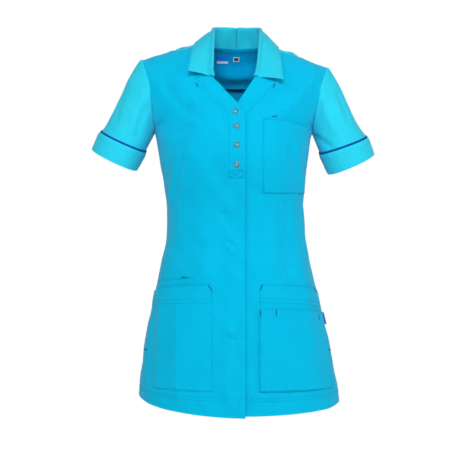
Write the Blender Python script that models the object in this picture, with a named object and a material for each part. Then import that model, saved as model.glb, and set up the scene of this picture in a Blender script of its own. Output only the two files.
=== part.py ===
"""Short-sleeved work tunic with a snap front, filled out with nobody in it.

Metres, +Z up, front towards -Y, the wearer's right side at -X.  The origin is where the tunic is
carried: on the line between the two shoulder points of the neck, at the centre.  Every piece a
maker would cut is one closed cloth wall, about 0.3 mm from its neighbours.
"""
from math import cos, pi, sin

import bpy
import numpy as np

# Cloth and gaps
WALL = 0.0020            # body, sleeve and collar cloth with its seam allowances
PATCH = 0.0015           # pocket cloth
GAP = 0.0003             # left between any two pieces
BEND = 2.3               # how square the body sections are, 2 is an ellipse
RIDGE = 0.120            # how far below the shoulder line the body reaches its full depth
ROUND = 1.7              # how round the shoulder line is over its ridge

# Shoulder line: height and slope at the neck point, wearer's right and left
NECK_X = 0.072
NECK_Z = {-1: 0.008, 1: 0.0005}
SLOPE = {-1: 0.290, 1: 0.400}
NECK_CROWN = 0.022       # the ridge line carried on across the neck opening
TIP_X = {-1: 0.2016, 1: 0.1910}
SEAM_FORWARD = 0.020     # the shoulder seam lies this far in front of the ridge at the neck

# Body sections: height, half width right, half width left, front depth, back depth
SECTION = np.array([
    (-0.790, 0.2105, 0.2210, 0.1440, 0.1370),
    (-0.735, 0.2060, 0.2140, 0.1405, 0.1350),
    (-0.701, 0.2037, 0.2080, 0.1380, 0.1340),
    (-0.668, 0.1995, 0.2016, 0.1360, 0.1330),
    (-0.634, 0.1950, 0.1970, 0.1340, 0.1310),
    (-0.601, 0.1910, 0.1890, 0.1320, 0.1290),
    (-0.567, 0.1830, 0.1785, 0.1295, 0.1270),
    (-0.533, 0.1760, 0.1740, 0.1260, 0.1240),
    (-0.500, 0.1680, 0.1640, 0.1210, 0.1190),
    (-0.466, 0.1620, 0.1550, 0.1160, 0.1120),
    (-0.433, 0.1530, 0.1490, 0.1100, 0.1045),
    (-0.399, 0.1475, 0.1430, 0.1055, 0.0985),
    (-0.365, 0.1460, 0.1393, 0.1050, 0.0955),
    (-0.349, 0.1463, 0.1390, 0.1065, 0.0955),
    (-0.315, 0.1490, 0.1395, 0.1125, 0.0985),
    (-0.281, 0.1535, 0.1430, 0.1205, 0.1035),
    (-0.244, 0.1620, 0.1470, 0.1285, 0.1100),
    (-0.218, 0.1660, 0.1510, 0.1280, 0.1130),
    (-0.187, 0.1707, 0.1548, 0.1210, 0.1150),
    (-0.155, 0.1805, 0.1670, 0.1110, 0.1130),
    (-0.120, 0.1990, 0.1880, 0.1000, 0.1100),
    (-0.085, 0.2280, 0.2190, 0.0930, 0.1070),
    (-0.040, 0.2540, 0.2450, 0.0920, 0.1100),
    (0.000, 0.2620, 0.2550, 0.0950, 0.1250),
    (0.060, 0.2680, 0.2620, 0.0970, 0.1290)])

# Front rows below the armhole: height at the centre, at the right seam, at the left seam
FRONT_ROWS = [
    (-0.7600, -0.7250, -0.7385), (-0.7380, -0.7142, -0.7246), (-0.7110, -0.7034, -0.7107),
    (-0.6750, -0.6720, -0.6760), (-0.6370, -0.6370, -0.6400), (-0.6020, -0.6080, -0.6090),
    (-0.5720, -0.5840, -0.5860), (-0.5460, -0.5600, -0.5650), (-0.5220, -0.5380, -0.5410),
    (-0.4975, -0.5170, -0.5157), (-0.4810, -0.4980, -0.4980), (-0.4470, -0.4550, -0.4560),
    (-0.4080, -0.4120, -0.4120), (-0.3700, -0.3700, -0.3700), (-0.3400, -0.3390, -0.3390),
    (-0.3120, -0.3110, -0.3110), (-0.2830, -0.2860, -0.2860), (-0.2540, -0.2620, -0.2620),
    (-0.2340, -0.2450, -0.2450), (-0.2147, -0.2290, -0.2290), (-0.1950, -0.2140, -0.2140),
    (-0.1764, -0.2000, -0.2000), (-0.1570, -0.1860, -0.1860)]
HEM, POCKET_FOOT, VENT, SECOND_TOP, UNDER_FOOT = 0, 2, 4, 7, 8
POCKET_TOP, UNDER_TOP, CHEST_FOOT, ARMPIT = 9, 10, 15, 22

# Front edge above the armhole: x and height of the right front, x and height of the left front
FRONT_EDGE = [
    (0.0105, -0.1440, -0.0115, -0.1450), (-0.0010, -0.1280, -0.0010, -0.1295),
    (-0.0170, -0.1100, 0.0120, -0.1100), (-0.0330, -0.0920, 0.0250, -0.0905),
    (-0.0495, -0.0740, 0.0383, -0.0710), (-0.0590, -0.0520, 0.0520, -0.0500),
    (-0.0660, -0.0300, 0.0625, -0.0310), (-0.0700, -0.0140, 0.0685, -0.0170),
    (-0.0715, -0.0030, 0.0712, -0.0085)]
COLLAR_END = 5           # how many rows above the armhole the collar starts

# Armhole: height, x of the front edge right and left, x of the back edge right and left
ARMHOLE = np.array([
    (-0.187, 0.1707, 0.1548, 0.1707, 0.1548), (-0.155, 0.1737, 0.1602, 0.1785, 0.1640),
    (-0.120, 0.1770, 0.1670, 0.1860, 0.1745), (-0.085, 0.1806, 0.1743, 0.1920, 0.1825),
    (-0.060, 0.1890, 0.1850, 0.1960, 0.1875), (-0.040, 0.1980, 0.1915, 0.2010, 0.1915),
    (-0.020, 0.2020, 0.1925, 0.2030, 0.1925)])
ARM_ROWS = {-1: (-0.170, -0.152, -0.134, -0.115, -0.097, -0.080, -0.064, -0.050, -0.0385),
            1: (-0.171, -0.155, -0.138, -0.121, -0.104, -0.088, -0.074, -0.063, -0.0540)}

# Front opening: the right front laps over the left one
LAP = 0.0160             # overlap either side of the snap line
LAP_RISE = 0.0014        # the right front stands up over the overlap
LAP_SINK = -0.0011       # the left front lies in under it
HEM_DROP = 0.0035        # the right front hangs this much lower at its corner

# Column positions of the fronts at named heights: pocket edge, inner pocket edge, dart
COLUMNS = {
    -1: np.array([(-0.760, 0.0501, 0.0855, 0.1229), (-0.480, 0.0501, 0.0855, 0.1144),
                  (-0.328, 0.0470, 0.0800, 0.1103), (-0.260, 0.0450, 0.0760, 0.1080),
                  (-0.187, 0.0430, 0.0720, 0.0990)]),
    1: np.array([(-0.760, 0.0443, 0.0760, 0.1120), (-0.500, 0.0443, 0.0740, 0.1035),
                 (-0.386, 0.0490, 0.0740, 0.0989), (-0.310, 0.0514, 0.0750, 0.1009),
                 (-0.187, 0.0514, 0.0740, 0.0960)])}
POCKET_SIDE = {-1: np.array([(-0.760, 66.0), (-0.705, 68.0), (-0.500, 81.0), (-0.200, 80.0)]),
               1: np.array([(-0.760, 64.0), (-0.710, 66.0), (-0.500, 82.0), (-0.200, 80.0)])}
DART_SINK = 0.0022       # depth of the dart at the waist

# Back: the centre panel lies over the side panels in a pleat line
PLEAT = np.array([(-0.760, 0.1250), (-0.480, 0.1080), (-0.365, 0.1000), (-0.200, 0.1180),
                  (-0.060, 0.1270), (0.020, 0.1290)])      # height, half width
PLEAT_RISE = 0.0030
BACK_NECK_Y = 0.068      # the neck seam at the centre back
BACK_ROWS = [
    (-0.752, 0), (-0.674, 3), (-0.637, 4), (-0.580, 6), (-0.530, 8), (-0.488, 10), (-0.451, 11),
    (-0.410, 12), (-0.370, 13), (-0.340, 14), (-0.312, 15), (-0.285, 16), (-0.258, 17),
    (-0.224, 19), (-0.202, 21), (-0.181, 22)]
BACK_TOP = len(BACK_ROWS) - 1
YOKE_FOOT = -0.079       # lower edge of the facing inside the back neck
FACING, FACING_GAP = 0.0012, 0.0016

# Sleeve and cuff ends, front view: x and height of the outer and inner edge
SLEEVE_END = {-1: ((-0.2835, -0.1790), (-0.1915, -0.2210)), 1: ((0.2705, -0.1905), (0.1742, -0.2250))}
CUFF_END = {-1: ((-0.3015, -0.2170), (-0.2115, -0.2600)), 1: ((0.2850, -0.2275), (0.1930, -0.2680))}
SLEEVE_DEPTH = 0.066     # half depth, front to back
SLEEVE_DROP = 0.007      # the cuff hangs lower in front
CUFF_WALL = 0.0027
PIPING = (0.0034, 0.0021)  # height along the sleeve, thickness

# Collar, by neckline point from the front end to the centre back.
# Fold crest x, y, z on the right and its x on the left, leaf edge x and height right and left.
COLLAR = [
    (-0.0525, -0.0920, -0.0700, 0.0388, -0.0985, -0.0655, 0.0915, -0.0838),
    (-0.0515, -0.0820, -0.0420, 0.0435, -0.0965, -0.0500, 0.0905, -0.0660),
    (-0.0505, -0.0660, -0.0160, 0.0462, -0.0946, -0.0340, 0.0897, -0.0470),
    (-0.0500, -0.0480, 0.0040, 0.0478, -0.0928, -0.0190, 0.0890, -0.0300),
    (-0.0498, -0.0310, 0.0180, 0.0490, -0.0912, -0.0085, 0.0885, -0.0170),
    (-0.0498, -0.0140, 0.0280, 0.0500, -0.0895, 0.0020, 0.0880, -0.0065),
    (-0.0502, 0.0080, 0.0370, 0.0508, -0.0880, 0.0028, 0.0870, -0.0062),
    (-0.0500, 0.0270, 0.0425, 0.0503, -0.0830, -0.0010, 0.0830, -0.0070),
    (-0.0445, 0.0440, 0.0452, 0.0445, -0.0720, -0.0060, 0.0720, -0.0090),
    (-0.0330, 0.0550, 0.0465, 0.0330, -0.0540, -0.0100, 0.0540, -0.0110),
    (-0.0175, 0.0610, 0.0470, 0.0175, -0.0290, -0.0120, 0.0290, -0.0120),
    (0.0000, 0.0630, 0.0472, 0.0000, 0.0000, -0.0120, 0.0000, -0.0120)]
FOLD = 0.0036            # half width of the fold of the collar
LEAF_LIFT = (0.0085, 0.0066, 0.0050, 0.0040, 0.0034, 0.0032, 0.0032, 0.0034, 0.0038, 0.0044,
             0.0046, 0.0046)  # the leaf edge above the body

# Snap caps down the front: x, height
SNAPS = [(-0.0038, -0.1470), (-0.0008, -0.1764), (-0.0008, -0.2147), (-0.0014, -0.2540)]
SNAP_RADIUS = 0.0062

# Labels on the yoke facing: x range, height range; and the tab in the left side seam
NECK_LABEL = (-0.0440, -0.0190, -0.0280, -0.0090)
SIZE_LABEL = (-0.0072, 0.0060, -0.0235, -0.0130)
TAB = (-0.5820, -0.5570, 0.0085, 0.0012)   # lower and upper height, reach, thickness

COLOURS = {"body_cloth": (0.003, 0.50, 0.79), "contrast_cloth": (0.03, 0.62, 0.84),
           "piping_cord": (0.003, 0.05, 0.30), "snap_metal": (0.42, 0.44, 0.46),
           "label_cloth": (0.05, 0.12, 0.55)}


def column(name, z):
    """One column of SECTION at height z, smoothed so that the cloth has no ridges."""
    index = {"right": 1, "left": 2, "front": 3, "back": 4}[name]
    steps = np.linspace(-0.024, 0.024, 9)
    return float(np.interp(z + steps, SECTION[:, 0], SECTION[:, index]).mean())


def half_width(x, z):
    return column("right" if x < 0 else "left", z)


def ridge_line(x):
    side = -1 if x < 0 else 1
    if abs(x) >= NECK_X:
        return NECK_Z[side] - SLOPE[side] * (abs(x) - NECK_X)
    share = (x + NECK_X) / (2 * NECK_X)
    return (1 - share) * NECK_Z[-1] + share * NECK_Z[1] + NECK_CROWN * (1 - (x / NECK_X) ** 2)


def shoulder(x):
    """Height of the shoulder ridge at x, without a corner at the neck."""
    return sum(ridge_line(x + step) for step in (-0.010, -0.005, 0.0, 0.005, 0.010)) / 5


def over_ridge(drop):
    """Share of the full depth reached at this drop below the ridge, and its slope."""
    if drop >= RIDGE:
        return 1.0, 0.0
    left = 1 - max(drop, 1e-7) / RIDGE
    share = (1 - left ** ROUND) ** (1 / ROUND)
    slope = left ** (ROUND - 1) * (1 - left ** ROUND) ** (1 / ROUND - 1) / RIDGE
    return share, min(slope, 4000.0)


def skin(face, x, z, out=0.0):
    """Point of the body surface at x and z, moved out along its normal.  face -1 front, 1 back."""
    name = "front" if face < 0 else "back"
    wide, deep = half_width(x, z), column(name, z)
    ratio = min(abs(x) / wide, 1.0)
    flat = (1 - ratio ** BEND) ** (1 / BEND)
    share, slope = over_ridge(shoulder(x) - z)
    step = 0.004
    wide_slope = (half_width(x, z + step) - half_width(x, z - step)) / (2 * step)
    deep_slope = (column(name, z + step) - column(name, z - step)) / (2 * step)
    lean = (shoulder(x + step) - shoulder(x - step)) / (2 * step)
    normal = np.array((
        share * np.sign(x) * ratio ** (BEND - 1) / wide - flat ** BEND * slope * lean,
        face * flat ** (BEND - 1) / deep,
        flat ** BEND * slope - share * (ratio ** BEND * wide_slope / wide
                                        + flat ** BEND * deep_slope / deep)))
    normal /= np.linalg.norm(normal)
    point = np.array((x, face * deep * flat * share, z))
    return point + out * normal


def angle_at(x, z):
    ratio = min(abs(x) / half_width(x, z), 1.0)
    return np.sign(x) * np.arcsin(ratio ** (BEND / 2))


def x_at(angle, z, side):
    return np.sign(angle) * half_width(side if angle == 0 else angle, z) * abs(np.sin(angle)) ** (2 / BEND)


def drop_for(face, x, y):
    """Drop below the ridge where the body surface has this y."""
    z = shoulder(x) - 0.01
    for _ in range(12):
        deep = column("front" if face < 0 else "back", z)
        flat = (1 - min(abs(x) / half_width(x, z), 1.0) ** BEND) ** (1 / BEND)
        share = min(abs(y) / (deep * flat), 0.999)
        drop = RIDGE * (1 - (1 - share ** ROUND) ** (1 / ROUND))
        z = shoulder(x) - drop
    return drop


def seam_y(x, side):
    """y of the shoulder seam at x: forward at the neck, on the ridge at the tip."""
    share = (abs(x) - NECK_X) / (TIP_X[side] - NECK_X)
    return -SEAM_FORWARD * (1 - min(max(share, 0.0), 1.0))


def wall(name, outer, inner, slot, wrap=False, hard=40):
    """A closed wall between two grids of points of the same size."""
    rows, cols = outer.shape[:2]
    points = [tuple(p) for p in outer.reshape(-1, 3)] + [tuple(p) for p in inner.reshape(-1, 3)]
    base, tris = rows * cols, []

    def quad(a, b, c, d):
        tris.extend([(a, b, c), (a, c, d)])

    last = cols if wrap else cols - 1
    for r in range(rows - 1):
        for c in range(last):
            a, b = r * cols + c, r * cols + (c + 1) % cols
            d, e = a + cols, b + cols
            tris.extend([(a, b, e), (a, e, d), (base + a, base + e, base + b),
                         (base + a, base + d, base + e)])
    for c in range(last):
        a, b = c, (c + 1) % cols
        quad(b, a, base + a, base + b)
        a, b = (rows - 1) * cols + c, (rows - 1) * cols + (c + 1) % cols
        quad(a, b, base + b, base + a)
    if not wrap:
        for r in range(rows - 1):
            a, b = r * cols, (r + 1) * cols
            quad(a, b, base + b, base + a)
            a, b = a + cols - 1, b + cols - 1
            quad(b, a, base + a, base + b)
    return solid(name, points, tris, slot, hard)


def solid(name, points, tris, slot, hard=40):
    p = np.array(points)
    t = np.array(tris)
    volume = np.einsum("ij,ij->i", p[t[:, 0]], np.cross(p[t[:, 1]], p[t[:, 2]])).sum()
    if volume < 0:
        t = t[:, ::-1]
    mesh = bpy.data.meshes.new(name)
    mesh.from_pydata([tuple(q) for q in points], [], [tuple(int(i) for i in row) for row in t])
    mesh.validate()
    mesh.shade_smooth()
    mesh.set_sharp_from_angle(angle=np.radians(hard))
    thing = bpy.data.objects.new(name, mesh)
    mesh.materials.append(finish(slot, name))
    bpy.context.scene.collection.objects.link(thing)
    return thing


def finish(slot, name):
    made = bpy.data.materials.new(f"{slot}_{name}")
    made.use_nodes = True
    bsdf = made.node_tree.nodes["Principled BSDF"]
    bsdf.inputs["Base Color"].default_value = (*COLOURS[slot], 1.0)
    bsdf.inputs["Roughness"].default_value = 0.35 if slot == "snap_metal" else 0.85
    bsdf.inputs["Metallic"].default_value = 1.0 if slot == "snap_metal" else 0.0
    return made


def normals(grid, wrap=False):
    """Unit normals of a grid of points, from its rows and columns."""
    down = np.gradient(grid, axis=0)
    if wrap:
        across = np.roll(grid, -1, axis=1) - np.roll(grid, 1, axis=1)
    else:
        across = np.gradient(grid, axis=1)
    n = np.cross(across, down)
    return n / np.linalg.norm(n, axis=2, keepdims=True)


def unit(v):
    return v / np.linalg.norm(v)


# Fronts
def front_panel(side):
    """Grid of a front: x, z and how far each point stands off the body surface."""
    end = 1 if side < 0 else 2
    rows = []
    for row in FRONT_ROWS:
        low = -HEM_DROP if side < 0 and row is FRONT_ROWS[0] else 0.0
        lap = -side * LAP
        rows.append(((lap, row[0] + low), (side * half_width(side, row[end]), row[end])))
    for k, edge in enumerate(FRONT_EDGE):
        inner = (edge[0], edge[1]) if side < 0 else (edge[2], edge[3])
        z = ARM_ROWS[side][k]
        rows.append((inner, (side * float(np.interp(z, ARMHOLE[:, 0], ARMHOLE[:, end])), z)))
    neck = side * NECK_X
    rows.append(((neck, shoulder(neck) - drop_for(-1, neck, SEAM_FORWARD + GAP)),
                 (side * TIP_X[side], shoulder(side * TIP_X[side]) - 1e-6)))
    count = 10
    xs, zs, outs = (np.zeros((len(rows), count)) for _ in range(3))
    shares = None
    for r, ((x0, z0), (x1, z1)) in enumerate(rows):
        a0, a1 = angle_at(x0, z0), angle_at(x1, z1)
        bend = 2.0 if r > 1 else (1.35 if side < 0 else 1.8)    # the hem rises sooner
        if r <= ARMPIT:
            marks = [np.interp(z0, COLUMNS[side][:, 0], COLUMNS[side][:, j]) for j in (1, 2, 3)]
            shares = []
            pocket = np.radians(np.interp(z0, POCKET_SIDE[side][:, 0], POCKET_SIDE[side][:, 1]))
            for mark in (0.018 if side < 0 else 0.020, 0.030 if side < 0 else 0.032, *marks):
                share = 0.3
                for _ in range(5):
                    z = z0 + (z1 - z0) * share ** bend
                    share = (angle_at(side * mark, z) - a0) / (a1 - a0)
                shares.append(share)
            edge = (side * pocket - a0) / (a1 - a0)
            shares += [(shares[-1] + edge) / 2, edge, (1 + edge) / 2, 1.0]
            shares = np.array([0.0] + shares)
            use = shares
        else:
            blend = min((r - ARMPIT) / 5, 1.0)
            use = (1 - blend) * shares + blend * np.linspace(0, 1, count)
        for c, share in enumerate(use):
            angle = a0 + (a1 - a0) * share
            z = z0 + (z1 - z0) * share ** bend
            if r > ARMPIT:
                fall = (1 - share) * (shoulder(x0) - z0) + share * (shoulder(x1) - z1)
                level, weight = z, (r - ARMPIT) / (len(rows) - 1 - ARMPIT)
                for _ in range(8):
                    x = x_at(angle, z, side)
                    if r == len(rows) - 1:
                        fall = drop_for(-1, x, -seam_y(x, side) + GAP)
                    z = (1 - weight) * level + weight * (shoulder(x) - fall)
            xs[r, c], zs[r, c] = x_at(angle, z, side), z
        lap = LAP_RISE if side < 0 else LAP_SINK
        fade = 1.0 if r <= ARMPIT + 2 else (0.4 if r == ARMPIT + 3 and side < 0 else 0.0)
        outs[r, 0] = outs[r, 1] = lap * fade
        z = zs[r, 5]
        dart = np.interp(z, (-0.56, -0.47, -0.37, -0.26, -0.19), (0.0, 0.6, 1.0, 0.5, 0.0))
        outs[r, 5] -= DART_SINK * dart
    return xs, zs, outs


def raise_grid(face, xs, zs, outs, extra, edge_y=GAP / 2):
    """Points of a panel grid moved out; the side seam column stays just on its own side."""
    grid = np.zeros((*xs.shape, 3))
    for r in range(xs.shape[0]):
        for c in range(xs.shape[1]):
            grid[r, c] = skin(face, xs[r, c], zs[r, c], outs[r, c] + extra)
            if abs(grid[r, c, 1]) < edge_y or grid[r, c, 1] * face < 0:
                grid[r, c, 1] = face * edge_y
    return grid


def patch(name, face, panel, rows, cols, lift, thick=PATCH, slot="body_cloth", trim=0.0):
    """A pocket patch from the points of its panel, moved out.  lift is metres or one per point;
    trim is the share of the last row left off at the top."""
    xs, zs, outs = (g[rows[0]:rows[1] + 1, cols[0]:cols[1] + 1] for g in panel)
    low = raise_grid(face, xs, zs, outs + lift, 0.0)
    high = raise_grid(face, xs, zs, outs + lift, thick)
    for g in (low, high):
        g[-1] += (g[-2] - g[-1]) * trim
    return wall(name, high, low, slot)


# Backs
def neck_curve(x):
    """y of the neck seam across the back at x."""
    return -SEAM_FORWARD + (BACK_NECK_Y + SEAM_FORWARD) * (1 - min(abs(x) / NECK_X, 1.0) ** 2) ** 0.5


def climb(x, y):
    """Signed angle up the back surface: 0 on the ridge, negative over it, pi/2 at full depth."""
    drop = drop_for(1 if y > 0 else -1, x, y)
    left = 1 - drop / RIDGE
    return np.sign(y) * np.arccos(left ** (ROUND / 2))


def back_point(x, turn, out):
    """Point of the back at x, turn as climb() gives; a negative turn is in front of the ridge."""
    face = 1 if turn >= 0 else -1
    if abs(turn) <= pi / 2:
        drop = RIDGE * (1 - abs(cos(turn)) ** (2 / ROUND))
    else:
        drop = RIDGE + (turn - pi / 2) * 0.09
    return skin(face, x, shoulder(x) - drop, out)


def turn_at(x, z):
    drop = shoulder(x) - z
    if drop >= RIDGE:
        return pi / 2 + (drop - RIDGE) / 0.09
    return float(np.arccos((1 - drop / RIDGE) ** (ROUND / 2)))


TOP_ROWS = 10            # rows of the back above its last level row


def turn_up(x, side, share, in_neck=False):
    """Turn at this share of the way from the last level row to the seam at the top."""
    start = turn_at(x, BACK_ROWS[BACK_TOP][0])
    end = climb(x, neck_curve(x) if in_neck else seam_y(x, side) + GAP)
    middle = max(end + 0.35, 0.80)
    if share < 0.6:
        return start + (middle - start) * share / 0.6
    return middle + (end - middle) * (share - 0.6) / 0.4


def back_center_grid(extra):
    inner = [0.0, 0.0186, 0.0360, 0.0509, 0.0624, 0.0695, NECK_X]
    shape = (len(BACK_ROWS) + TOP_ROWS, 21, 3)
    grid = np.zeros(shape)
    for r in range(shape[0]):
        for c in range(21):
            side = -1 if c < 10 else 1
            j = abs(c - 10)
            z = BACK_ROWS[min(r, BACK_TOP)][0]
            if r > BACK_TOP:
                z += (r - BACK_TOP) / TOP_ROWS * 0.18
            pleat = float(np.interp(z, PLEAT[:, 0], PLEAT[:, 1]))
            marks = inner + [0.5 * (NECK_X + pleat - 0.030), pleat - 0.030, pleat - 0.016, pleat]
            if j <= 6:
                reach = marks[j] * min(1.0, 0.5 + 0.5 * (pleat / 0.129))
                if r > BACK_TOP:
                    blend = (r - BACK_TOP) / TOP_ROWS
                    reach += (marks[j] - reach) * blend
            else:
                reach = marks[j]
            x = side * reach if j else 0.0
            out = extra + (PLEAT_RISE if j >= 9 else 0.0)
            if r <= BACK_TOP:
                grid[r, c] = skin(1, x, z, out)
                continue
            turn = turn_up(x, side, (r - BACK_TOP) / TOP_ROWS, reach < NECK_X - 1e-9)
            grid[r, c] = back_point(x, turn, out)
    return grid


def back_side_grid(side, extra):
    end = 1 if side < 0 else 2
    count = 8
    grid = np.zeros((len(BACK_ROWS) + TOP_ROWS, count, 3))
    arm = [-0.187] + list(ARM_ROWS[side])
    for r in range(grid.shape[0]):
        z = BACK_ROWS[min(r, BACK_TOP)][0]
        if r > BACK_TOP:
            z += (r - BACK_TOP) / TOP_ROWS * 0.18
        pleat = float(np.interp(z, PLEAT[:, 0], PLEAT[:, 1]))
        if r <= BACK_TOP:
            z1 = FRONT_ROWS[BACK_ROWS[r][1]][end]
            a0, a1 = angle_at(side * (pleat - 0.014), z), side * pi / 2
            near = (angle_at(side * (pleat + 0.010), z) - a0) / (a1 - a0)
            shares = [0.0] + list(np.linspace(near, 1.0, count - 1))
            for c, share in enumerate(shares):
                level = z + (z1 - z) * share ** 2
                grid[r, c] = skin(1, x_at(a0 + (a1 - a0) * share, level, side), level, extra)
            continue
        k = r - BACK_TOP
        x0 = side * (pleat - 0.014)
        first = side * (pleat + 0.010)
        t0, t_first = (turn_up(x, side, k / TOP_ROWS) for x in (x0, first))
        z1 = arm[k] if k < TOP_ROWS else shoulder(side * TIP_X[side])
        x1 = side * (float(np.interp(z1, ARMHOLE[:, 0], ARMHOLE[:, end + 2])) if k < TOP_ROWS else TIP_X[side])
        t1 = turn_at(x1, z1) if k < TOP_ROWS else 0.0
        for c, share in enumerate([-1.0] + list(np.linspace(0.0, 1.0, count - 1))):
            x = x0 if share < 0 else first + (x1 - first) * share
            turn = t0 if share < 0 else t_first + (t1 - t_first) * share
            if k == TOP_ROWS:
                turn = climb(x, seam_y(x, side) + GAP) if share < 1 else 0.0
            grid[r, c] = back_point(x, turn, extra)
    return grid


def keep_side(grid, face, rows):
    """The side seam edge stays on its own side of the middle plane, parted below the vent."""
    edge = -1
    for r in range(rows):
        low = min(max((-0.637 - grid[r, edge, 2]) / 0.1, 0.0), 1.0)
        grid[r, edge, 1] = face * (GAP / 2 + 0.0035 * low)
    return grid


# Sleeves
def ring(ends, angles, depth, drop):
    (ox, oz), (ix, iz) = ends
    centre = np.array(((ox + ix) / 2, -0.004, (oz + iz) / 2))
    across = np.array(((ox - ix) / 2, 0.0, (oz - iz) / 2))
    deep = np.array((0.0, -depth, -drop))
    return np.array([centre + across * np.sign(cos(a)) * abs(cos(a)) ** 0.92
                     + deep * np.sign(sin(a)) * abs(sin(a)) ** 0.92 for a in angles])


def sleeve_tube(side, loop, away, half):
    """Outer surface of a sleeve, rings from the armhole loop to its end; half is the armpit."""
    n = len(loop)
    angles = np.zeros(n)
    steps = np.linalg.norm(np.roll(loop, -1, axis=0) - loop, axis=1)
    angles[1:half + 1] = pi * np.cumsum(steps[:half]) / steps[:half].sum()
    angles[half + 1:] = pi + pi * np.cumsum(steps[half:-1]) / steps[half:].sum()
    end = ring(SLEEVE_END[side], angles, SLEEVE_DEPTH, SLEEVE_DROP)
    hem = ring(CUFF_END[side], angles, SLEEVE_DEPTH + 0.001, SLEEVE_DROP + 0.002)
    start = loop + away * (0.0008 + 0.0007 * ((np.cos(angles)[:, None] + 1) / 2) ** 4)
    length = np.linalg.norm(end - start, axis=1, keepdims=True)
    lift = (np.cos(angles)[:, None] + 1) / 2
    heading = (end - start) / length + lift * np.array((side * 0.20, 0.0, 0.0))
    pull = start + heading * length * 0.30
    cuff = (hem - end) / np.linalg.norm(hem - end, axis=1, keepdims=True)
    near = end - (cuff * (1 - lift) + heading * lift) * length * 0.30
    rings = []
    for t in (0.0, 0.08, 0.2, 0.36, 0.54, 0.72, 0.88, 1.0):
        rings.append((1 - t) ** 3 * start + 3 * (1 - t) ** 2 * t * pull
                     + 3 * (1 - t) * t ** 2 * near + t ** 3 * end)
    return np.array(rings), end, hem


def build_sleeve(side, name, loop, away, half):
    rings, end, hem = sleeve_tube(side, loop, away, half)
    tail = end + (hem - end) * 0.28
    tube = np.concatenate([rings, tail[None]], axis=0)
    n = normals(tube, wrap=True)
    middle = tube.mean(axis=1, keepdims=True)
    if ((tube - middle) * n).sum() < 0:
        n = -n
    wall(f"sleeve_{name}", tube, tube - WALL * n, "contrast_cloth", wrap=True)
    out = n[-2] * 0.5 + n[-1] * 0.5
    out /= np.linalg.norm(out, axis=1, keepdims=True)
    along = (hem - end) / np.linalg.norm(hem - end, axis=1, keepdims=True)
    high, thick = PIPING
    top = end - along * high / 2
    low = end + along * high / 2
    outer = np.array([top + out * GAP, top + out * (GAP + thick * 0.8), end + out * (GAP + thick),
                      low + out * (GAP + thick * 0.8), low + out * GAP])
    inner = np.array([p + out * GAP for p in (top, top * 0.75 + low * 0.25, end,
                                              top * 0.25 + low * 0.75, low)])
    inner[0], inner[-1] = top + out * GAP * 0.9, low + out * GAP * 0.9
    wall(f"piping_{name}", outer, inner, "piping_cord", wrap=True, hard=60)
    first = end + along * (high / 2 + GAP)
    levels = [first + (hem - first) * t for t in (0.0, 0.12, 0.5, 0.88, 1.0)]
    bulge = (0.0000, 0.0008, 0.0006, 0.0002, -0.0002)
    inner = np.array([p + out * GAP for p in levels])
    outer = np.array([p + out * (GAP + CUFF_WALL + b) for p, b in zip(levels, bulge)])
    wall(f"cuff_{name}", outer, inner, "contrast_cloth", wrap=True)


# Collar
def neck_points(side, front, back_top):
    """Body neck edge from the collar end to the centre back, outer surface, with directions."""
    pts = [front[ARMPIT + k, 0] for k in range(COLLAR_END, 11)]
    order = range(5, -1, -1)
    pts += [back_top[10 + side * j] for j in order]
    return np.array(pts)


def build_collar(side, name, edge, up):
    """One half of the collar, a stand and a leaf folded over it."""
    count = len(COLLAR)
    crest = np.array([(row[0] if side < 0 else row[3], row[1], row[2]) for row in COLLAR])
    crest[:, 2] += 0.0 if side < 0 else -0.0015 * (1 - np.linspace(0, 1, count))
    leaf = []
    for k, row in enumerate(COLLAR):
        x, z = (row[4], row[5]) if side < 0 else (row[6], row[7])
        face = -1 if k <= 5 else 1
        z = min(z, shoulder(x) - 1e-5)
        leaf.append(skin(face, x, z, LEAF_LIFT[k] + WALL))
    leaf = np.array(leaf)
    tangent = np.gradient(edge, axis=0)
    tangent /= np.linalg.norm(tangent, axis=1, keepdims=True)
    inward = np.cross(up, tangent)
    inward *= np.where((inward * (np.array((0.0, 0.0, 0.02)) - edge)).sum(axis=1, keepdims=True) < 0, -1, 1)
    seam = edge + inward * (WALL + 1.5 * GAP) - up * 0.0010
    seam[0] += inward[0] * 0.0008
    run = np.gradient(crest, axis=0)
    run /= np.linalg.norm(run, axis=1, keepdims=True)
    rows = []
    for k in range(count):
        cross = leaf[k] - seam[k]
        cross -= run[k] * (cross @ run[k])
        cross = unit(cross)
        rise = np.cross(run[k], cross)
        if rise @ (crest[k] - 0.5 * (leaf[k] + seam[k])) < 0:
            rise = -rise
        fold = [crest[k] + FOLD * (sin(a) * cross + (cos(a) - 1) * rise)
                for a in np.radians((-88, -45, 0, 45, 88))]
        tall = np.linalg.norm(fold[0] - seam[k])
        stand = [seam[k], seam[k] + up[k] * tall * 0.10 + (fold[0] - seam[k]) * 0.20,
                 seam[k] * 0.4 + fold[0] * 0.6 - cross * 0.02 * tall]
        fall = leaf[k] - fold[-1]
        lower = [fold[-1] + fall * s + rise * 0.002 * sin(pi * s) for s in (0.30, 0.62)]
        rows.append(stand + fold + lower + [leaf[k]])
    grid = np.array(rows)
    n = normals(grid)
    # the side that is seen faces away from the fold's inside
    middle = grid[:, 5] - grid[:, [3, 7]].mean(axis=1)
    if (n[:, 5] * middle).sum() < 0:
        n = -n
    hidden = grid - WALL * n
    for g in (grid, hidden):
        g[-1, :, 0] = side * GAP / 2
    wall(f"collar_{name}", grid, hidden, "contrast_cloth", hard=50)


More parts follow.
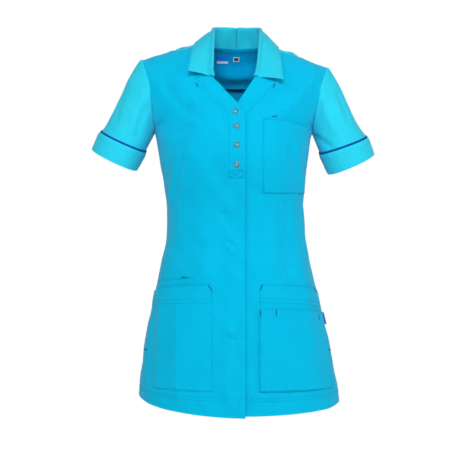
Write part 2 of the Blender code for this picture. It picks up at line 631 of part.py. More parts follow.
def build_snap(name, x, z):
    """A round press-stud cap: domed rim, sunk middle."""
    seat = skin(-1, x, z, LAP_RISE + GAP)
    out = unit(skin(-1, x, z, 0.01) - skin(-1, x, z, 0.0))
    right = unit(np.cross(out, (0.0, 0.0, 1.0)))
    top = np.cross(right, out)
    profile = [(0.0, 0.0), (SNAP_RADIUS, 0.0), (SNAP_RADIUS, 0.0010), (SNAP_RADIUS * 0.88, 0.0020),
               (SNAP_RADIUS * 0.70, 0.0023), (SNAP_RADIUS * 0.55, 0.0016), (0.0, 0.0013)]
    points, tris, ringed = [], [], []
    for radius, height in profile:
        if radius == 0:
            ringed.append([len(points)])
            points.append(seat + out * height)
            continue
        ringed.append(list(range(len(points), len(points) + 18)))
        for i in range(18):
            a = 2 * pi * i / 18
            points.append(seat + out * height + right * radius * cos(a) + top * radius * sin(a))
    for low, high in zip(ringed, ringed[1:]):
        for i in range(18):
            j = (i + 1) % 18
            if len(low) == 1:
                tris.append((low[0], high[i], high[j]))
            elif len(high) == 1:
                tris.append((low[j], low[i], high[0]))
            else:
                tris.extend([(low[i], high[i], high[j]), (low[i], high[j], low[j])])
    solid(name, [tuple(p) for p in points], tris, "snap_metal", 35)


def build_label(name, box, depth):
    """A blank woven label lying on the yoke facing, sewn along its top edge."""
    x0, x1, z0, z1 = box
    outer, inner = [], []
    for z in np.linspace(z0, z1, 3):
        outer.append([skin(1, x, z, -depth) for x in np.linspace(x0, x1, 4)])
        inner.append([skin(1, x, z, -depth - 0.0010) for x in np.linspace(x0, x1, 4)])
    wall(name, np.array(outer), np.array(inner), "label_cloth")


def build_tab():
    low, high, reach, thick = TAB
    outer, inner = [], []
    for z in np.linspace(low, high, 3):
        edge = column("left", z) + 0.0009
        outer.append([(edge + reach * s, -thick / 2 + 0.0006 * s, z) for s in (0.0, 0.5, 1.0)])
        inner.append([(edge + reach * s, thick / 2 + 0.0006 * s, z) for s in (0.0, 0.5, 1.0)])
    wall("side_tab", np.array(outer), np.array(inner), "label_cloth")


for thing in list(bpy.data.objects):
    bpy.data.objects.remove(thing, do_unlink=True)

fronts = {}
for side, name in ((-1, "right"), (1, "left")):
    panel = front_panel(side)
    outer = keep_side(raise_grid(-1, *panel, 0.0), -1, ARMPIT + 1)
    inner = keep_side(raise_grid(-1, *panel, -WALL), -1, ARMPIT + 1)
    fronts[side] = (panel, outer)
    wall(f"front_{name}", outer, inner, "body_cloth")

center = back_center_grid(0.0)
wall("back_center", center, back_center_grid(-WALL), "contrast_cloth")
backs = {}
for side, name in ((-1, "right"), (1, "left")):
    outer = keep_side(back_side_grid(side, 0.0), 1, BACK_TOP + 1)
    inner = keep_side(back_side_grid(side, -WALL), 1, BACK_TOP + 1)
    backs[side] = outer
    wall(f"back_side_{name}", outer, inner, "body_cloth")

# Facing inside the back neck, under the centre panel's own columns
facing = [[], []]
for share in np.linspace(0.0, 1.0, 7):
    for side_of, out in zip(facing, (-WALL - FACING_GAP, -WALL - FACING_GAP - FACING)):
        line = []
        for c in range(6, 15):
            x, side = center[-1, c, 0], -1 if c < 10 else 1
            foot, head = turn_at(x, YOKE_FOOT), turn_up(x, side, 1.0, True)
            head += 0.22 if abs(x) > 0.055 else 0.03
            line.append(back_point(x, foot + (head - foot) * share, out))
        side_of.append(line)
wall("yoke_facing", np.array(facing[0]), np.array(facing[1]), "body_cloth")

# Pockets
right_panel, left_panel = fronts[-1][0], fronts[1][0]
patch("hip_pocket_right_inner", -1, right_panel, (UNDER_FOOT, UNDER_TOP), (4, 7), GAP)
rows, cols = (POCKET_FOOT, POCKET_TOP), (3, 7)
lift = np.full((rows[1] - rows[0] + 1, cols[1] - cols[0] + 1), GAP)
lift[UNDER_FOOT - rows[0]:, 1:] = 2 * GAP + PATCH
patch("hip_pocket_right", -1, right_panel, rows, cols, lift)
patch("hip_pocket_left", -1, left_panel, (POCKET_FOOT, POCKET_TOP), (3, 7), GAP)
patch("hip_pocket_left_front", -1, left_panel, (POCKET_FOOT, SECOND_TOP), (3, 7), 2 * GAP + PATCH)
patch("chest_pocket", -1, left_panel, (CHEST_FOOT, ARMPIT), (3, 7), 2 * GAP, trim=0.16)

# Sleeves, cuffs and piping
for side, name in ((-1, "right"), (1, "left")):
    front_edge = fronts[side][1][ARMPIT:, -1]
    back_edge = backs[side][BACK_TOP:, -1]
    loop = list(front_edge[::-1]) + list(back_edge[1:-1])
    loop[0] = (front_edge[-1] + back_edge[-1]) / 2
    loop[len(front_edge) - 1] = (front_edge[0] + back_edge[0]) / 2
    inside = list(fronts[side][1][ARMPIT:, -2][::-1]) + list(backs[side][BACK_TOP:, -2][1:-1])
    loop, inside = np.array(loop), np.array(inside)
    along = np.roll(loop, -1, axis=0) - np.roll(loop, 1, axis=0)
    along /= np.linalg.norm(along, axis=1, keepdims=True)
    away = loop - inside
    away -= along * (away * along).sum(axis=1, keepdims=True)
    away /= np.linalg.norm(away, axis=1, keepdims=True)
    away[len(front_edge) - 1] = unit(np.array((side * 0.4, 0.0, 1.0)))
    build_sleeve(side, name, loop, away, len(front_edge) - 1)

# Collar
for side, name in ((-1, "right"), (1, "left")):
    points = neck_points(side, fronts[side][1], center[-1])
    up = []
    for k, p in enumerate(points):
        face = -1 if k <= 5 or p[1] < 0 else 1
        step = 0.01
        up.append(unit(skin(face, p[0], p[2], step) - skin(face, p[0], p[2], 0.0)))
    build_collar(side, name, points, np.array(up))

for k, (x, z) in enumerate(SNAPS):
    build_snap(f"snap_cap_{k + 1}", x, z)
build_label("neck_label", NECK_LABEL, WALL + FACING_GAP + FACING + 0.0009)
build_label("size_label", SIZE_LABEL, WALL + FACING_GAP + FACING + 0.0012)
build_tab()
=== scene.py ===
# %% [markdown]
# # A short-sleeved work tunic, dressed
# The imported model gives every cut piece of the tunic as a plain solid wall.
# This lesson reads those walls back, lays a finer cloth on each one and gives the cloth its creases,
# seams, stitches and finish.  The solids stay hidden underneath and are never moved.

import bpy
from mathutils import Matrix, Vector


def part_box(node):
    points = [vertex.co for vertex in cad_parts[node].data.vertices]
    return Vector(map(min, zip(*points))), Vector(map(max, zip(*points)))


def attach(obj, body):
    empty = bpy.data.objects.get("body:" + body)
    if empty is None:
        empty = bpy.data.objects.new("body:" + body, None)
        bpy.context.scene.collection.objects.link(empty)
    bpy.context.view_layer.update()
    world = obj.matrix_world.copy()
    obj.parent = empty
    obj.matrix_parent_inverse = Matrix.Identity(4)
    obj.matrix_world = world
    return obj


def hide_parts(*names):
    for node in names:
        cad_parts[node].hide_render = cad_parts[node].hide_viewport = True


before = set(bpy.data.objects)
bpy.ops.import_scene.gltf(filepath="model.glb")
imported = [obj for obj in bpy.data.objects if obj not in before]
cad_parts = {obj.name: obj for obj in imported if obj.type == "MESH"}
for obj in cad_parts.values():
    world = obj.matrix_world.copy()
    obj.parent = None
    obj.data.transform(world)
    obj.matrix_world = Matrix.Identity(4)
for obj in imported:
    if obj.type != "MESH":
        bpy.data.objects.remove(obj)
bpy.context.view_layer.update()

from math import cos, pi, radians, sin

import bmesh
import bpy
import numpy as np
from mathutils import Vector
from mathutils.bvhtree import BVHTree

scene = bpy.context.scene

# %% [markdown]
# ## The camera
# The picture looks straight at the front from about three metres, a little to the wearer's right.
# A long lens keeps the tunic's proportions; the numbers are the ones the solids were measured with,
# so the cloth falls on the same places in the frame.

# %% Camera
CAMERA_DISTANCE = 3.0                  # metres from the tunic's middle plane
PICTURE_WIDTH = 0.945                  # metres seen across that plane
CAMERA_X, CAMERA_Z = -0.025, -0.376
SENSOR_WIDTH = 36.0                    # millimetres, as the lens
camera_data = bpy.data.cameras.new("camera")
camera_data.sensor_width = SENSOR_WIDTH
camera_data.lens = SENSOR_WIDTH * CAMERA_DISTANCE / PICTURE_WIDTH
camera = bpy.data.objects.new("camera", camera_data)
camera.location = (CAMERA_X, -CAMERA_DISTANCE, CAMERA_Z)
camera.rotation_euler = (radians(90), 0.0, 0.0)
scene.collection.objects.link(camera)
scene.camera = camera
print("lens", round(camera_data.lens, 1), "mm")

# %% [markdown]
# ## Plain soft studio light
# A catalogue picture of workwear is lit by large soft boxes and stands on a white ground.
# The world is pure white to the camera and a dimmer white to the cloth, so the soft boxes in front
# can still model the folds.  Large area lights give the soft edges of the shadows.

# %% World and soft boxes
WORLD_FILL = 0.27                      # strength of the white that only the cloth sees
world = bpy.data.worlds.new("white_studio")
world.use_nodes = True
scene.world = world
world_tree = world.node_tree
world_tree.nodes.clear()


def add_node(tree, kind, settings=None, links=None):
    """One node with its settings and links.  links maps a socket to another node's output."""
    node = tree.nodes.new(kind)
    for key, value in (settings or {}).items():
        if isinstance(key, str) and key not in node.inputs:
            setattr(node, key, value)
        else:
            node.inputs[key].default_value = value
    for key, source in (links or {}).items():
        tree.links.new(source, node.inputs[key])
    return node


WHITE = (1.0, 1.0, 1.0, 1.0)
seen = add_node(world_tree, "ShaderNodeBackground", {"Color": WHITE, "Strength": 1.0})
fill = add_node(world_tree, "ShaderNodeBackground", {"Color": WHITE, "Strength": WORLD_FILL})
rays = add_node(world_tree, "ShaderNodeLightPath")
both = add_node(world_tree, "ShaderNodeMixShader")
world_tree.links.new(rays.outputs["Is Camera Ray"], both.inputs[0])
world_tree.links.new(fill.outputs[0], both.inputs[1])
world_tree.links.new(seen.outputs[0], both.inputs[2])
add_node(world_tree, "ShaderNodeOutputWorld", links={"Surface": both.outputs[0]})

# name, place, aimed at, width and height in metres, watts
SOFT_BOXES = [
    ("soft_box_front", (-0.1, -2.9, 1.4), (0.0, 0.0, -0.35), 1.3, 1.0, 68.5),
    ("soft_box_right", (-2.0, -1.7, 1.7), (-0.1, 0.0, -0.20), 1.4, 1.6, 18.0),
    ("soft_box_left", (2.7, -1.5, 0.5), (0.0, 0.0, -0.40), 1.2, 2.0, 27.0),
    ("soft_box_back", (0.3, 3.0, 1.0), (0.0, 0.0, -0.35), 2.2, 1.8, 46.0)]
for name, place, aim, wide, high, watts in SOFT_BOXES:
    lamp = bpy.data.lights.new(name, "AREA")
    lamp.shape, lamp.size, lamp.size_y, lamp.energy = "RECTANGLE", wide, high, watts
    holder = bpy.data.objects.new(name, lamp)
    holder.location = place
    holder.rotation_euler = (Vector(aim) - Vector(place)).to_track_quat("-Z", "Y").to_euler()
    scene.collection.objects.link(holder)
scene.view_settings.view_transform = "Standard"
print("soft boxes:", len(SOFT_BOXES))

# %% [markdown]
# ## Colours and the cloth finish
# The tunic is a polyester and cotton twill of about 210 g/m2, reactive dyed and calendered flat.
# Such cloth is matt, with a thin fuzz of cut fibres that turns the edges of the body greyish where
# they are seen at a slant: that is the sheen.  The fine diagonal of the twill is too small to see
# one by one, so it is drawn coarser, as bump, with a little unevenness of dye and wash.

# %% Colour and cloth material
TWILL_PITCH = 0.0012         # real pitch is about 0.5 mm, drawn coarser so that it shows
TWILL_SLANT = radians(63)    # the diagonal against the cloth's width
SEWING_PITCH = 0.0004        # the twist of a sewing thread
DYE_CLOUDS = 14.0            # patches of uneven dye to the metre
WEAVE_HEIGHT = 0.0003
MATT = (0.78, 0.94)          # roughness of smooth and of fuzzy places
FUZZ_TINT = (0.66, 0.88, 1.0, 1.0)


def linear(code):
    """sRGB hex to the linear colour that a shader takes."""
    value = [int(code[i:i + 2], 16) / 255 for i in (1, 3, 5)]
    return tuple(v / 12.92 if v <= 0.04045 else ((v + 0.055) / 1.055) ** 2.4 for v in value) + (1.0,)


def twill(name, code, shade=0.06, sheen=0.17, bump=0.10, pitch=TWILL_PITCH):
    """Matt twill: diagonal weave in the bump, cloudy dye, and a fuzz that shows at a slant."""
    made = bpy.data.materials.new(name)
    made.use_nodes = True
    tree = made.node_tree
    tree.nodes.clear()
    where = add_node(tree, "ShaderNodeUVMap", {"uv_map": "cloth"})
    turned = add_node(tree, "ShaderNodeMapping", {"Rotation": (0.0, 0.0, TWILL_SLANT)},
                      {"Vector": where.outputs["UV"]})
    rib = add_node(tree, "ShaderNodeTexWave",
                   {"Scale": 1.0 / (2 * pi * pitch), "Distortion": 0.6, "Detail": 1.0,
                    "Detail Scale": 2.0}, {"Vector": turned.outputs["Vector"]})
    slub = add_node(tree, "ShaderNodeTexNoise", {"Scale": 1.0 / (pitch * 4), "Detail": 3.0},
                    {"Vector": where.outputs["UV"]})
    cloud = add_node(tree, "ShaderNodeTexNoise",
                     {"Scale": DYE_CLOUDS, "Detail": 3.0, "Roughness": 0.6},
                     {"Vector": where.outputs["UV"]})
    mixed = add_node(tree, "ShaderNodeMath", {"operation": "MULTIPLY_ADD", 1: 0.5},
                     {0: cloud.outputs["Fac"], 2: slub.outputs["Fac"]})
    tone = add_node(tree, "ShaderNodeMapRange",
                    {"From Min": 0.45, "From Max": 1.05, "To Min": 1.0 - shade, "To Max": 1.0 + shade},
                    {"Value": mixed.outputs[0]})
    grey = add_node(tree, "ShaderNodeCombineColor",
                    links={channel: tone.outputs[0] for channel in ("Red", "Green", "Blue")})
    colour = add_node(tree, "ShaderNodeMix", {"data_type": "RGBA", "blend_type": "MULTIPLY",
                                              0: 1.0, 6: linear(code)}, {7: grey.outputs[0]})
    dull = add_node(tree, "ShaderNodeMapRange", {"To Min": MATT[0], "To Max": MATT[1]},
                    {"Value": slub.outputs["Fac"]})
    height = add_node(tree, "ShaderNodeMath", {"operation": "MULTIPLY_ADD", 1: 0.6},
                      {0: slub.outputs["Fac"], 2: rib.outputs["Fac"]})
    rough = add_node(tree, "ShaderNodeBump", {"Strength": bump, "Distance": WEAVE_HEIGHT},
                     {"Height": height.outputs[0]})
    cloth = add_node(tree, "ShaderNodeBsdfPrincipled",
                     {"IOR": 1.53, "Specular IOR Level": 0.03, "Sheen Weight": sheen,
                      "Sheen Roughness": 0.45, "Sheen Tint": FUZZ_TINT},
                     {"Base Color": colour.outputs[2], "Roughness": dull.outputs[0],
                      "Normal": rough.outputs[0]})
    add_node(tree, "ShaderNodeOutputMaterial", links={"Surface": cloth.outputs[0]})
    return made


BODY_BLUE = twill("polycotton_twill_bright_blue", "#00B4DC")
LIGHT_BLUE = twill("polycotton_twill_light_blue", "#28CAE4")
COLLAR_BLUE = twill("polycotton_twill_interfaced", "#26C2DC")
# Painted shade: the inside of the panels, pockets and facing is a darker blue than the body, for the
# shade inside the tunic.
INSIDE_PAINTED_SHADE = twill("polycotton_twill_inside_painted_shade", "#0098C6", sheen=0.03)
# Painted shade: the facing is body cloth, drawn darker for the shade inside the back neck.
FACING_PAINTED_SHADE = twill("polycotton_twill_facing_painted_shade", "#00A6E0", sheen=0.05)
NAVY = twill("polycotton_piping_navy", "#0C4CA0", sheen=0.05)
# The blue and hem threads are darker than the body blue they sit on: painted shade of the sunk stitch
# line. The light thread is near its cloth's colour, and the navy is the bar tacks' own thread.
THREAD_COLOURS = {"blue": "#0082B0", "hem": "#0098C8", "light": "#20B8DC", "navy": "#1C3F86"}
THREADS = {name: twill(f"polyester_thread_{name}", code, sheen=0.05, bump=0.2, pitch=SEWING_PITCH)
           for name, code in THREAD_COLOURS.items()}
print("finishes:", len(bpy.data.materials))

# %% [markdown]
# ## Read a wall back from its solid
# Each cloth solid is a closed wall between two grids of points.  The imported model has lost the
# grid's order, so it is found again: the wall is split where it turns sharply into its two big sides
# and its thin rims, the corners of the seen side are the four places where its outline turns most,
# and every point's row and column is how many steps it lies from one side of the outline.

# %% Find the two sides of a wall
WELD = 2e-6                  # corners closer than this are one point
RIM_TURN = radians(60)       # a wall turns more sharply than this at its rims


def sides_of(node):
    """The two big smooth sides of a solid: their points, normals, neighbours and outline."""
    bm = bmesh.new()
    bm.from_mesh(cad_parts[node].data)
    bmesh.ops.remove_doubles(bm, verts=bm.verts, dist=WELD)
    bm.normal_update()
    left, groups = set(bm.faces), []
    while left:
        face = left.pop()
        group, queue = [face], [face]
        while queue:
            for edge in queue.pop().edges:
                if len(edge.link_faces) == 2 and edge.calc_face_angle() < RIM_TURN:
                    for other in edge.link_faces:
                        if other in left:
                            left.remove(other)
                            group.append(other)
                            queue.append(other)
        groups.append(group)
    groups.sort(key=lambda g: -sum(f.calc_area() for f in g))
    found = []
    for group in groups[:2]:
        mine = {v for f in group for v in f.verts}
        inside = {f for f in bm.faces if all(v in mine for v in f.verts)}
        near, rim = {}, {}
        for face in inside:
            for edge in face.edges:
                a, b = edge.verts
                near.setdefault(a.index, set()).add(b.index)
                near.setdefault(b.index, set()).add(a.index)
                if sum(f in inside for f in edge.link_faces) == 1:
                    rim.setdefault(a.index, []).append(b.index)
                    rim.setdefault(b.index, []).append(a.index)
        points = {v.index: np.array(v.co) for f in group for v in f.verts}
        facing = {v.index: np.array(v.normal) for f in group for v in f.verts}
        found.append((points, facing, near, rim))
    bm.free()
    return found


print("points on the two sides of a front:", [len(side[0]) for side in sides_of("front_right")])

# %% [markdown]
# ### Counting steps and walking an outline
# Two small helpers work on points and their neighbours only.  One counts the steps from a start, as
# rings spread on water, and one walks along a rim until it comes round.

# %% Steps and outlines
def steps_from(starts, near):
    """How many steps each point lies from the nearest of the starts."""
    far = {s: 0 for s in starts}
    queue = list(starts)
    while queue:
        here = queue.pop(0)
        for other in near[here]:
            if other not in far:
                far[other] = far[here] + 1
                queue.append(other)
    return far


def walk(rim):
    """The outlines of a side, each as a list of points in order."""
    left, loops = set(rim), []
    while left:
        loop = [left.pop()]
        while True:
            step = [n for n in rim[loop[-1]] if n in left]
            if not step:
                break
            left.remove(step[0])
            loop.append(step[0])
        loops.append(loop)
    return loops


print("outlines of a sleeve's outer side:", len(walk(sides_of("sleeve_right")[0][3])))

# %% [markdown]
# ### A flat piece and a tube
# A front or a pocket has one outline with four corners.  A sleeve or cuff is a tube with two
# outlines, so its rings are matched to each other by turning each ring until it lies nearest to the
# one before.

# %% Rows and columns of a flat piece, and of a tube
def grid_of(node, rows, cols, up, across, seen_side=0):
    """Points of a wall's seen side as rows x cols, rows along `up` and columns along `across`."""
    points, facing, near, rim = sides_of(node)[seen_side]
    loop = max(walk(rim), key=len)
    place = np.array([points[i] for i in loop])
    ahead, behind = np.roll(place, -1, 0) - place, place - np.roll(place, 1, 0)
    lengths = np.linalg.norm(ahead, axis=1) * np.linalg.norm(behind, axis=1)
    turn = 1 - (ahead * behind).sum(1) / lengths
    n, tries = len(loop), []
    if n != 2 * (rows + cols) - 4:
        raise SystemExit(f"{node} has an outline of {n} points, not {2 * (rows + cols) - 4}")
    for s in range(n):
        corners = [s, s + cols - 1, s + cols + rows - 2, s + 2 * cols + rows - 3]
        tries.append((-sum(turn[c % n] for c in corners), corners))
    for _, (s, a, b, c) in sorted(tries):
        r_of = steps_from([loop[i % n] for i in range(s, a + 1)], near)
        order = []
        for r in range(rows):
            here, left = [loop[(s + n - r) % n]], {i for i in points if r_of[i] == r}
            left.discard(here[0])
            while left:
                step = [i for i in near[here[-1]] if i in left] or left
                here.append(min(step, key=lambda i: np.linalg.norm(points[i] - points[here[-1]])))
                left.remove(here[-1])
            order.append(here)
        if all(len(line) == cols for line in order):
            grid = np.array([[points[i] for i in here] for here in order])
            normal = np.array([[facing[i] for i in here] for here in order])
            break
    else:
        raise SystemExit(f"{node} isn't a grid of {rows} x {cols}")
    if ((grid[-1] - grid[0]).mean(0) @ np.array(up, float)) < 0:
        grid, normal = grid[::-1], normal[::-1]
    if ((grid[:, -1] - grid[:, 0]).mean(0) @ np.array(across, float)) < 0:
        grid, normal = grid[:, ::-1], normal[:, ::-1]
    return grid, normal


def rings_of(node, rows, around, start):
    """Rings of a tube's outer side, from the ring nearest `start` on."""
    points, facing, near, rim = sides_of(node)[0]
    loops = walk(rim)
    loops.sort(key=lambda loop: np.linalg.norm(np.mean([points[i] for i in loop], axis=0) - start))
    r_of = steps_from(loops[0], near)
    rings = []
    for r in range(rows):
        members = {i for i in points if r_of[i] == r}
        here = [min(members, key=lambda i: -points[i][2])]
        members.remove(here[0])
        while members:
            step = [i for i in near[here[-1]] if i in members]
            if not step:
                raise SystemExit(f"{node}: ring {r} isn't closed")
            step = min(step, key=lambda i: np.linalg.norm(points[i] - points[here[-1]]))
            here.append(step)
            members.remove(step)
        rings.append(here)
    grid = [np.array([points[i] for i in rings[0]])]
    for ring in rings[1:]:
        ring = np.array([points[i] for i in ring])
        turns = [np.roll(way, k, 0) for way in (ring, ring[::-1]) for k in range(around)]
        grid.append(min(turns, key=lambda g: np.linalg.norm(g - grid[-1], axis=1).sum()))
    return np.array(grid)


print("points of the chest pocket:", grid_of("chest_pocket", 8, 5, (0, 0, 1), (1, 0, 0))[0].shape[:2])

# %% [markdown]
# ## A finer cloth on the wall
# Smooth curves are run through the wall's own points along its rows and its columns, as a tailor's
# curve would be, so the cloth keeps the solid's form and loses its facets.  The extra lines are
# closer together beside the edges, where a hem or seam turns over.

# %% Curves through the points
def curve_through(points, knots, at):
    """Values at `at` of the smooth curve through points[i] at knots[i]."""
    gaps = np.diff(knots)
    shape = (-1,) + (1,) * (points.ndim - 1)
    rise = np.diff(points, axis=0) / gaps.reshape(shape)
    slope = np.empty_like(points)
    before, after = gaps[:-1].reshape(shape), gaps[1:].reshape(shape)
    slope[1:-1] = (rise[:-1] * after + rise[1:] * before) / (before + after)
    slope[0], slope[-1] = 1.5 * rise[0] - 0.5 * slope[1], 1.5 * rise[-1] - 0.5 * slope[-2]
    k = np.clip(np.searchsorted(knots, at, side="right") - 1, 0, len(gaps) - 1)
    t = ((at - knots[k]) / gaps[k]).reshape(shape)
    g = gaps[k].reshape(shape)
    return ((2 * t ** 3 - 3 * t ** 2 + 1) * points[k] + (t ** 3 - 2 * t ** 2 + t) * g * slope[k]
            + (3 * t ** 2 - 2 * t ** 3) * points[k + 1] + (t ** 3 - t ** 2) * g * slope[k + 1])


EDGE_INSETS = (0.0007, 0.0016, 0.0028)                  # extra lines beside an edge
DART_OFFSETS = (-0.0026, -0.0012, 0, 0.0012, 0.0026)    # and across a dart
CLOSEST, CLOSEST_TO_END = 0.0005, 0.0004


def marks_along(length, step, extra=()):
    """Places from 0 to length about a step apart, closer beside both edges."""
    places = set(np.round(np.linspace(0, length, max(2, int(round(length / step)) + 1)), 6))
    for inset in EDGE_INSETS:
        places |= {inset, round(length - inset, 6)}
    places |= {round(e, 6) for e in extra if 0 < e < length}
    places = sorted(places)
    kept = [places[0]]
    for place in places[1:-1]:
        if place - kept[-1] > CLOSEST and places[-1] - place > CLOSEST_TO_END:
            kept.append(place)
    return np.array(kept + [places[-1]])


print("lines across a 2 cm strip, in mm:", (marks_along(0.020, 0.003) * 1000).round(1))

# %% [markdown]
# ### What a cloth knows
# A cloth keeps its fine points, the lengths along its rows and columns, and which way it faces.  A
# tube is closed round, so its curves start a little before its seam and end a little after it.

# %% The cloth
class Cloth:
    """A fine grid of points on a wall's seen side, with its sizes along rows and columns."""

    def __init__(self, grid, outward, step=0.003, wrap=False, fine_cols=()):
        self.wrap = wrap
        if wrap:
            grid, outward = (np.concatenate([g[:, -2:], g, g[:, :3]], axis=1) for g in (grid, outward))
        down = np.linalg.norm(np.diff(grid, axis=0), axis=2).mean(1)
        across = np.linalg.norm(np.diff(grid, axis=1), axis=2).mean(0)
        row_knots = np.concatenate([[0], np.cumsum(down)])
        col_knots = np.concatenate([[0], np.cumsum(across)])
        if wrap:
            col_knots -= col_knots[2]
            girth = col_knots[-3]
            self.cols = np.linspace(0, girth, int(round(girth / step)), endpoint=False)
        else:
            girth = col_knots[-1]
            self.cols = marks_along(girth, step, [
                col_knots[k] + offset for k in fine_cols for offset in DART_OFFSETS])
        self.rows = marks_along(row_knots[-1], step)
        self.row_knots, self.col_knots, self.size = row_knots, col_knots, (girth, row_knots[-1])
        fine = curve_through(grid, row_knots, self.rows)
        fine = curve_through(fine.swapaxes(0, 1), col_knots, self.cols).swapaxes(0, 1)
        self.plain = self.points = fine
        coarse = curve_through(outward, row_knots, self.rows)
        coarse = curve_through(coarse.swapaxes(0, 1), col_knots, self.cols).swapaxes(0, 1)
        self.sign = 1.0
        self.sign = 1.0 if (self.facing() * coarse).sum() > 0 else -1.0

    def facing(self):
        """Unit normals of the cloth's seen side."""
        if self.wrap:
            along = np.roll(self.points, -1, 1) - np.roll(self.points, 1, 1)
        else:
            along = np.gradient(self.points, axis=1)
        n = np.cross(along, np.gradient(self.points, axis=0))
        return self.sign * n / np.maximum(np.linalg.norm(n, axis=2, keepdims=True), 1e-12)

    def raise_by(self, height):
        """Move every point out by its own height."""
        self.points = self.points + self.facing() * height[..., None]

    def from_edge(self, side):
        """Distance of each point from one edge: first_row, last_row, first_col or last_col."""
        r, c = self.rows[:, None], self.cols[None, :]
        return {"first_row": r + 0 * c, "last_row": self.rows[-1] - r + 0 * c,
                "first_col": c + 0 * r, "last_col": self.size[0] - c + 0 * r}[side]

    def area(self):
        """Area of the seen side in square metres."""
        p = self.points
        if self.wrap:
            p = np.concatenate([p, p[:, :1]], axis=1)
        a, b, c, d = p[:-1, :-1], p[:-1, 1:], p[1:, 1:], p[1:, :-1]
        return float((np.linalg.norm(np.cross(b - a, c - a), axis=2)
                      + np.linalg.norm(np.cross(c - a, d - a), axis=2)).sum() / 2)


square = np.array([[(x, 0.0, z) for x in (0.0, 0.05, 0.10)] for z in (0.0, 0.05, 0.10)])
print("a 10 cm square:", round(Cloth(square, np.zeros_like(square) + (0, -1, 0)).area(), 4), "m2")

# %% [markdown]
# ## Sew a cloth into a thin shell
# Real cloth has two sides, so the grid gets a second one just inside it and rims between them.
# The map called cloth keeps its own threads: across in metres, along in metres.

# %% Turn a grid into a piece
def make_mesh(name, points, faces, material, uvs, sharp=40, reverse=None, side_faces=0):
    """A smooth piece.  With a reverse, its first side_faces are the seen side and as many follow."""
    mesh = bpy.data.meshes.new(name)
    mesh.from_pydata(points.reshape(-1, 3), [], faces)
    layer = mesh.uv_layers.new(name="cloth")
    corner = np.empty(len(mesh.loops), int)
    mesh.loops.foreach_get("vertex_index", corner)
    layer.data.foreach_set("uv", uvs[corner].astype(np.float32).ravel())
    mesh.shade_smooth()
    mesh.set_sharp_from_angle(angle=radians(sharp))
    mesh.materials.append(material)
    if reverse:
        mesh.materials.append(reverse)
        index = np.zeros(len(faces), np.int32)
        index[side_faces:2 * side_faces] = 1
        mesh.polygons.foreach_set("material_index", index)
    piece = bpy.data.objects.new(name, mesh)
    scene.collection.objects.link(piece)
    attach(piece, "root")
    return piece


def shell(name, cloth, thick, material, reverse, nodes=(), sharp=40):
    """A closed thin shell of a cloth.  thick is metres, or one value for each point."""
    outer = cloth.points
    inner = outer - cloth.facing() * (np.zeros(outer.shape[:2]) + thick)[..., None]
    rows, cols = outer.shape[:2]
    base, last = rows * cols, cols if cloth.wrap else cols - 1
    r, c = np.meshgrid(np.arange(rows - 1), np.arange(last), indexing="ij")
    a = (r * cols + c).ravel()
    b = (r * cols + (c + 1) % cols).ravel()
    d, e = a + cols, b + cols
    quads = [np.stack([a, b, e, d], 1), np.stack([a, d, e, b], 1) + base]
    here = np.arange(last)
    beside = (here + 1) % cols
    top = (rows - 1) * cols
    quads.append(np.stack([here, here + base, beside + base, beside], 1))
    quads.append(np.stack([top + beside, top + beside + base, top + here + base, top + here], 1))
    if not cloth.wrap:
        side = np.arange(rows - 1) * cols
        quads.append(np.stack([side + cols, side + cols + base, side + base, side], 1))
        side = side + cols - 1
        quads.append(np.stack([side, side + base, side + cols + base, side + cols], 1))
    faces = np.concatenate(quads)
    if cloth.sign < 0:
        faces = faces[:, ::-1]
    flat = np.stack(np.broadcast_arrays(cloth.cols[None, :], cloth.rows[:, None]), -1).reshape(-1, 2)
    piece = make_mesh(name, np.concatenate([outer.reshape(-1, 3), inner.reshape(-1, 3)]),
                      faces.tolist(), material, np.concatenate([flat, flat]), sharp=sharp,
                      reverse=reverse, side_faces=len(a))
    if nodes:
        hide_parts(*nodes)
    print(f"{name}: {rows} x {cols} points, {cloth.size[0]:.3f} x {cloth.size[1]:.3f} m, "
          f"area {cloth.area():.4f} m2")
    return piece


# %% [markdown]
# ## The five body panels
# Two fronts, a centre back and two back sides, each cut on the straight grain.  All are read back
# first, without creases, because a crease that runs over a seam has to fall on both panels.

# %% Read the body panels
UP, OUT_RIGHT, OUT_LEFT = (0, 0, 1), (-1, 0, 0), (1, 0, 0)
# rows and columns of points on the solid, and the way the columns run
PANELS = {"front_right": (33, 10, OUT_RIGHT), "front_left": (33, 10, OUT_LEFT),
          "back_center": (26, 21, OUT_LEFT), "back_side_right": (26, 8, OUT_RIGHT),
          "back_side_left": (26, 8, OUT_LEFT)}
POCKETS = {"hip_pocket_right_inner": (3, 4, OUT_RIGHT), "hip_pocket_right": (8, 5, OUT_RIGHT),
           "hip_pocket_left": (8, 5, OUT_LEFT), "hip_pocket_left_front": (6, 5, OUT_LEFT),
           "chest_pocket": (8, 5, OUT_LEFT)}
DART_COL = 5                           # the solids' column that runs along the waist dart
CROWDED = {3: 0.41, 17: 0.59}          # columns of the centre back that crowd their neighbours
cloths = {}
for name, (rows, cols, across) in {**PANELS, **POCKETS}.items():
    grid, outward = grid_of(name, rows, cols, UP, across)
    if name == "back_center":
        for col, share in CROWDED.items():
            grid[:, col] = grid[:, col - 1] * (1 - share) + grid[:, col + 1] * share
    cloths[name] = Cloth(grid, outward, step=0.003 if name in PANELS else 0.0024,
                         fine_cols=(DART_COL,) if name.startswith("front") else ())
print({name: cloth.points.shape[:2] for name, cloth in cloths.items()})

# %% [markdown]
# ## Sleeves and cuffs, read as tubes
# The short set-in sleeve ends in a separate turned-up band with a round covered cord, the piping,
# caught in the seam between them.  The sleeve gets one more ring inside the armhole: its seam
# allowance, which closes the seam so that no daylight comes through.

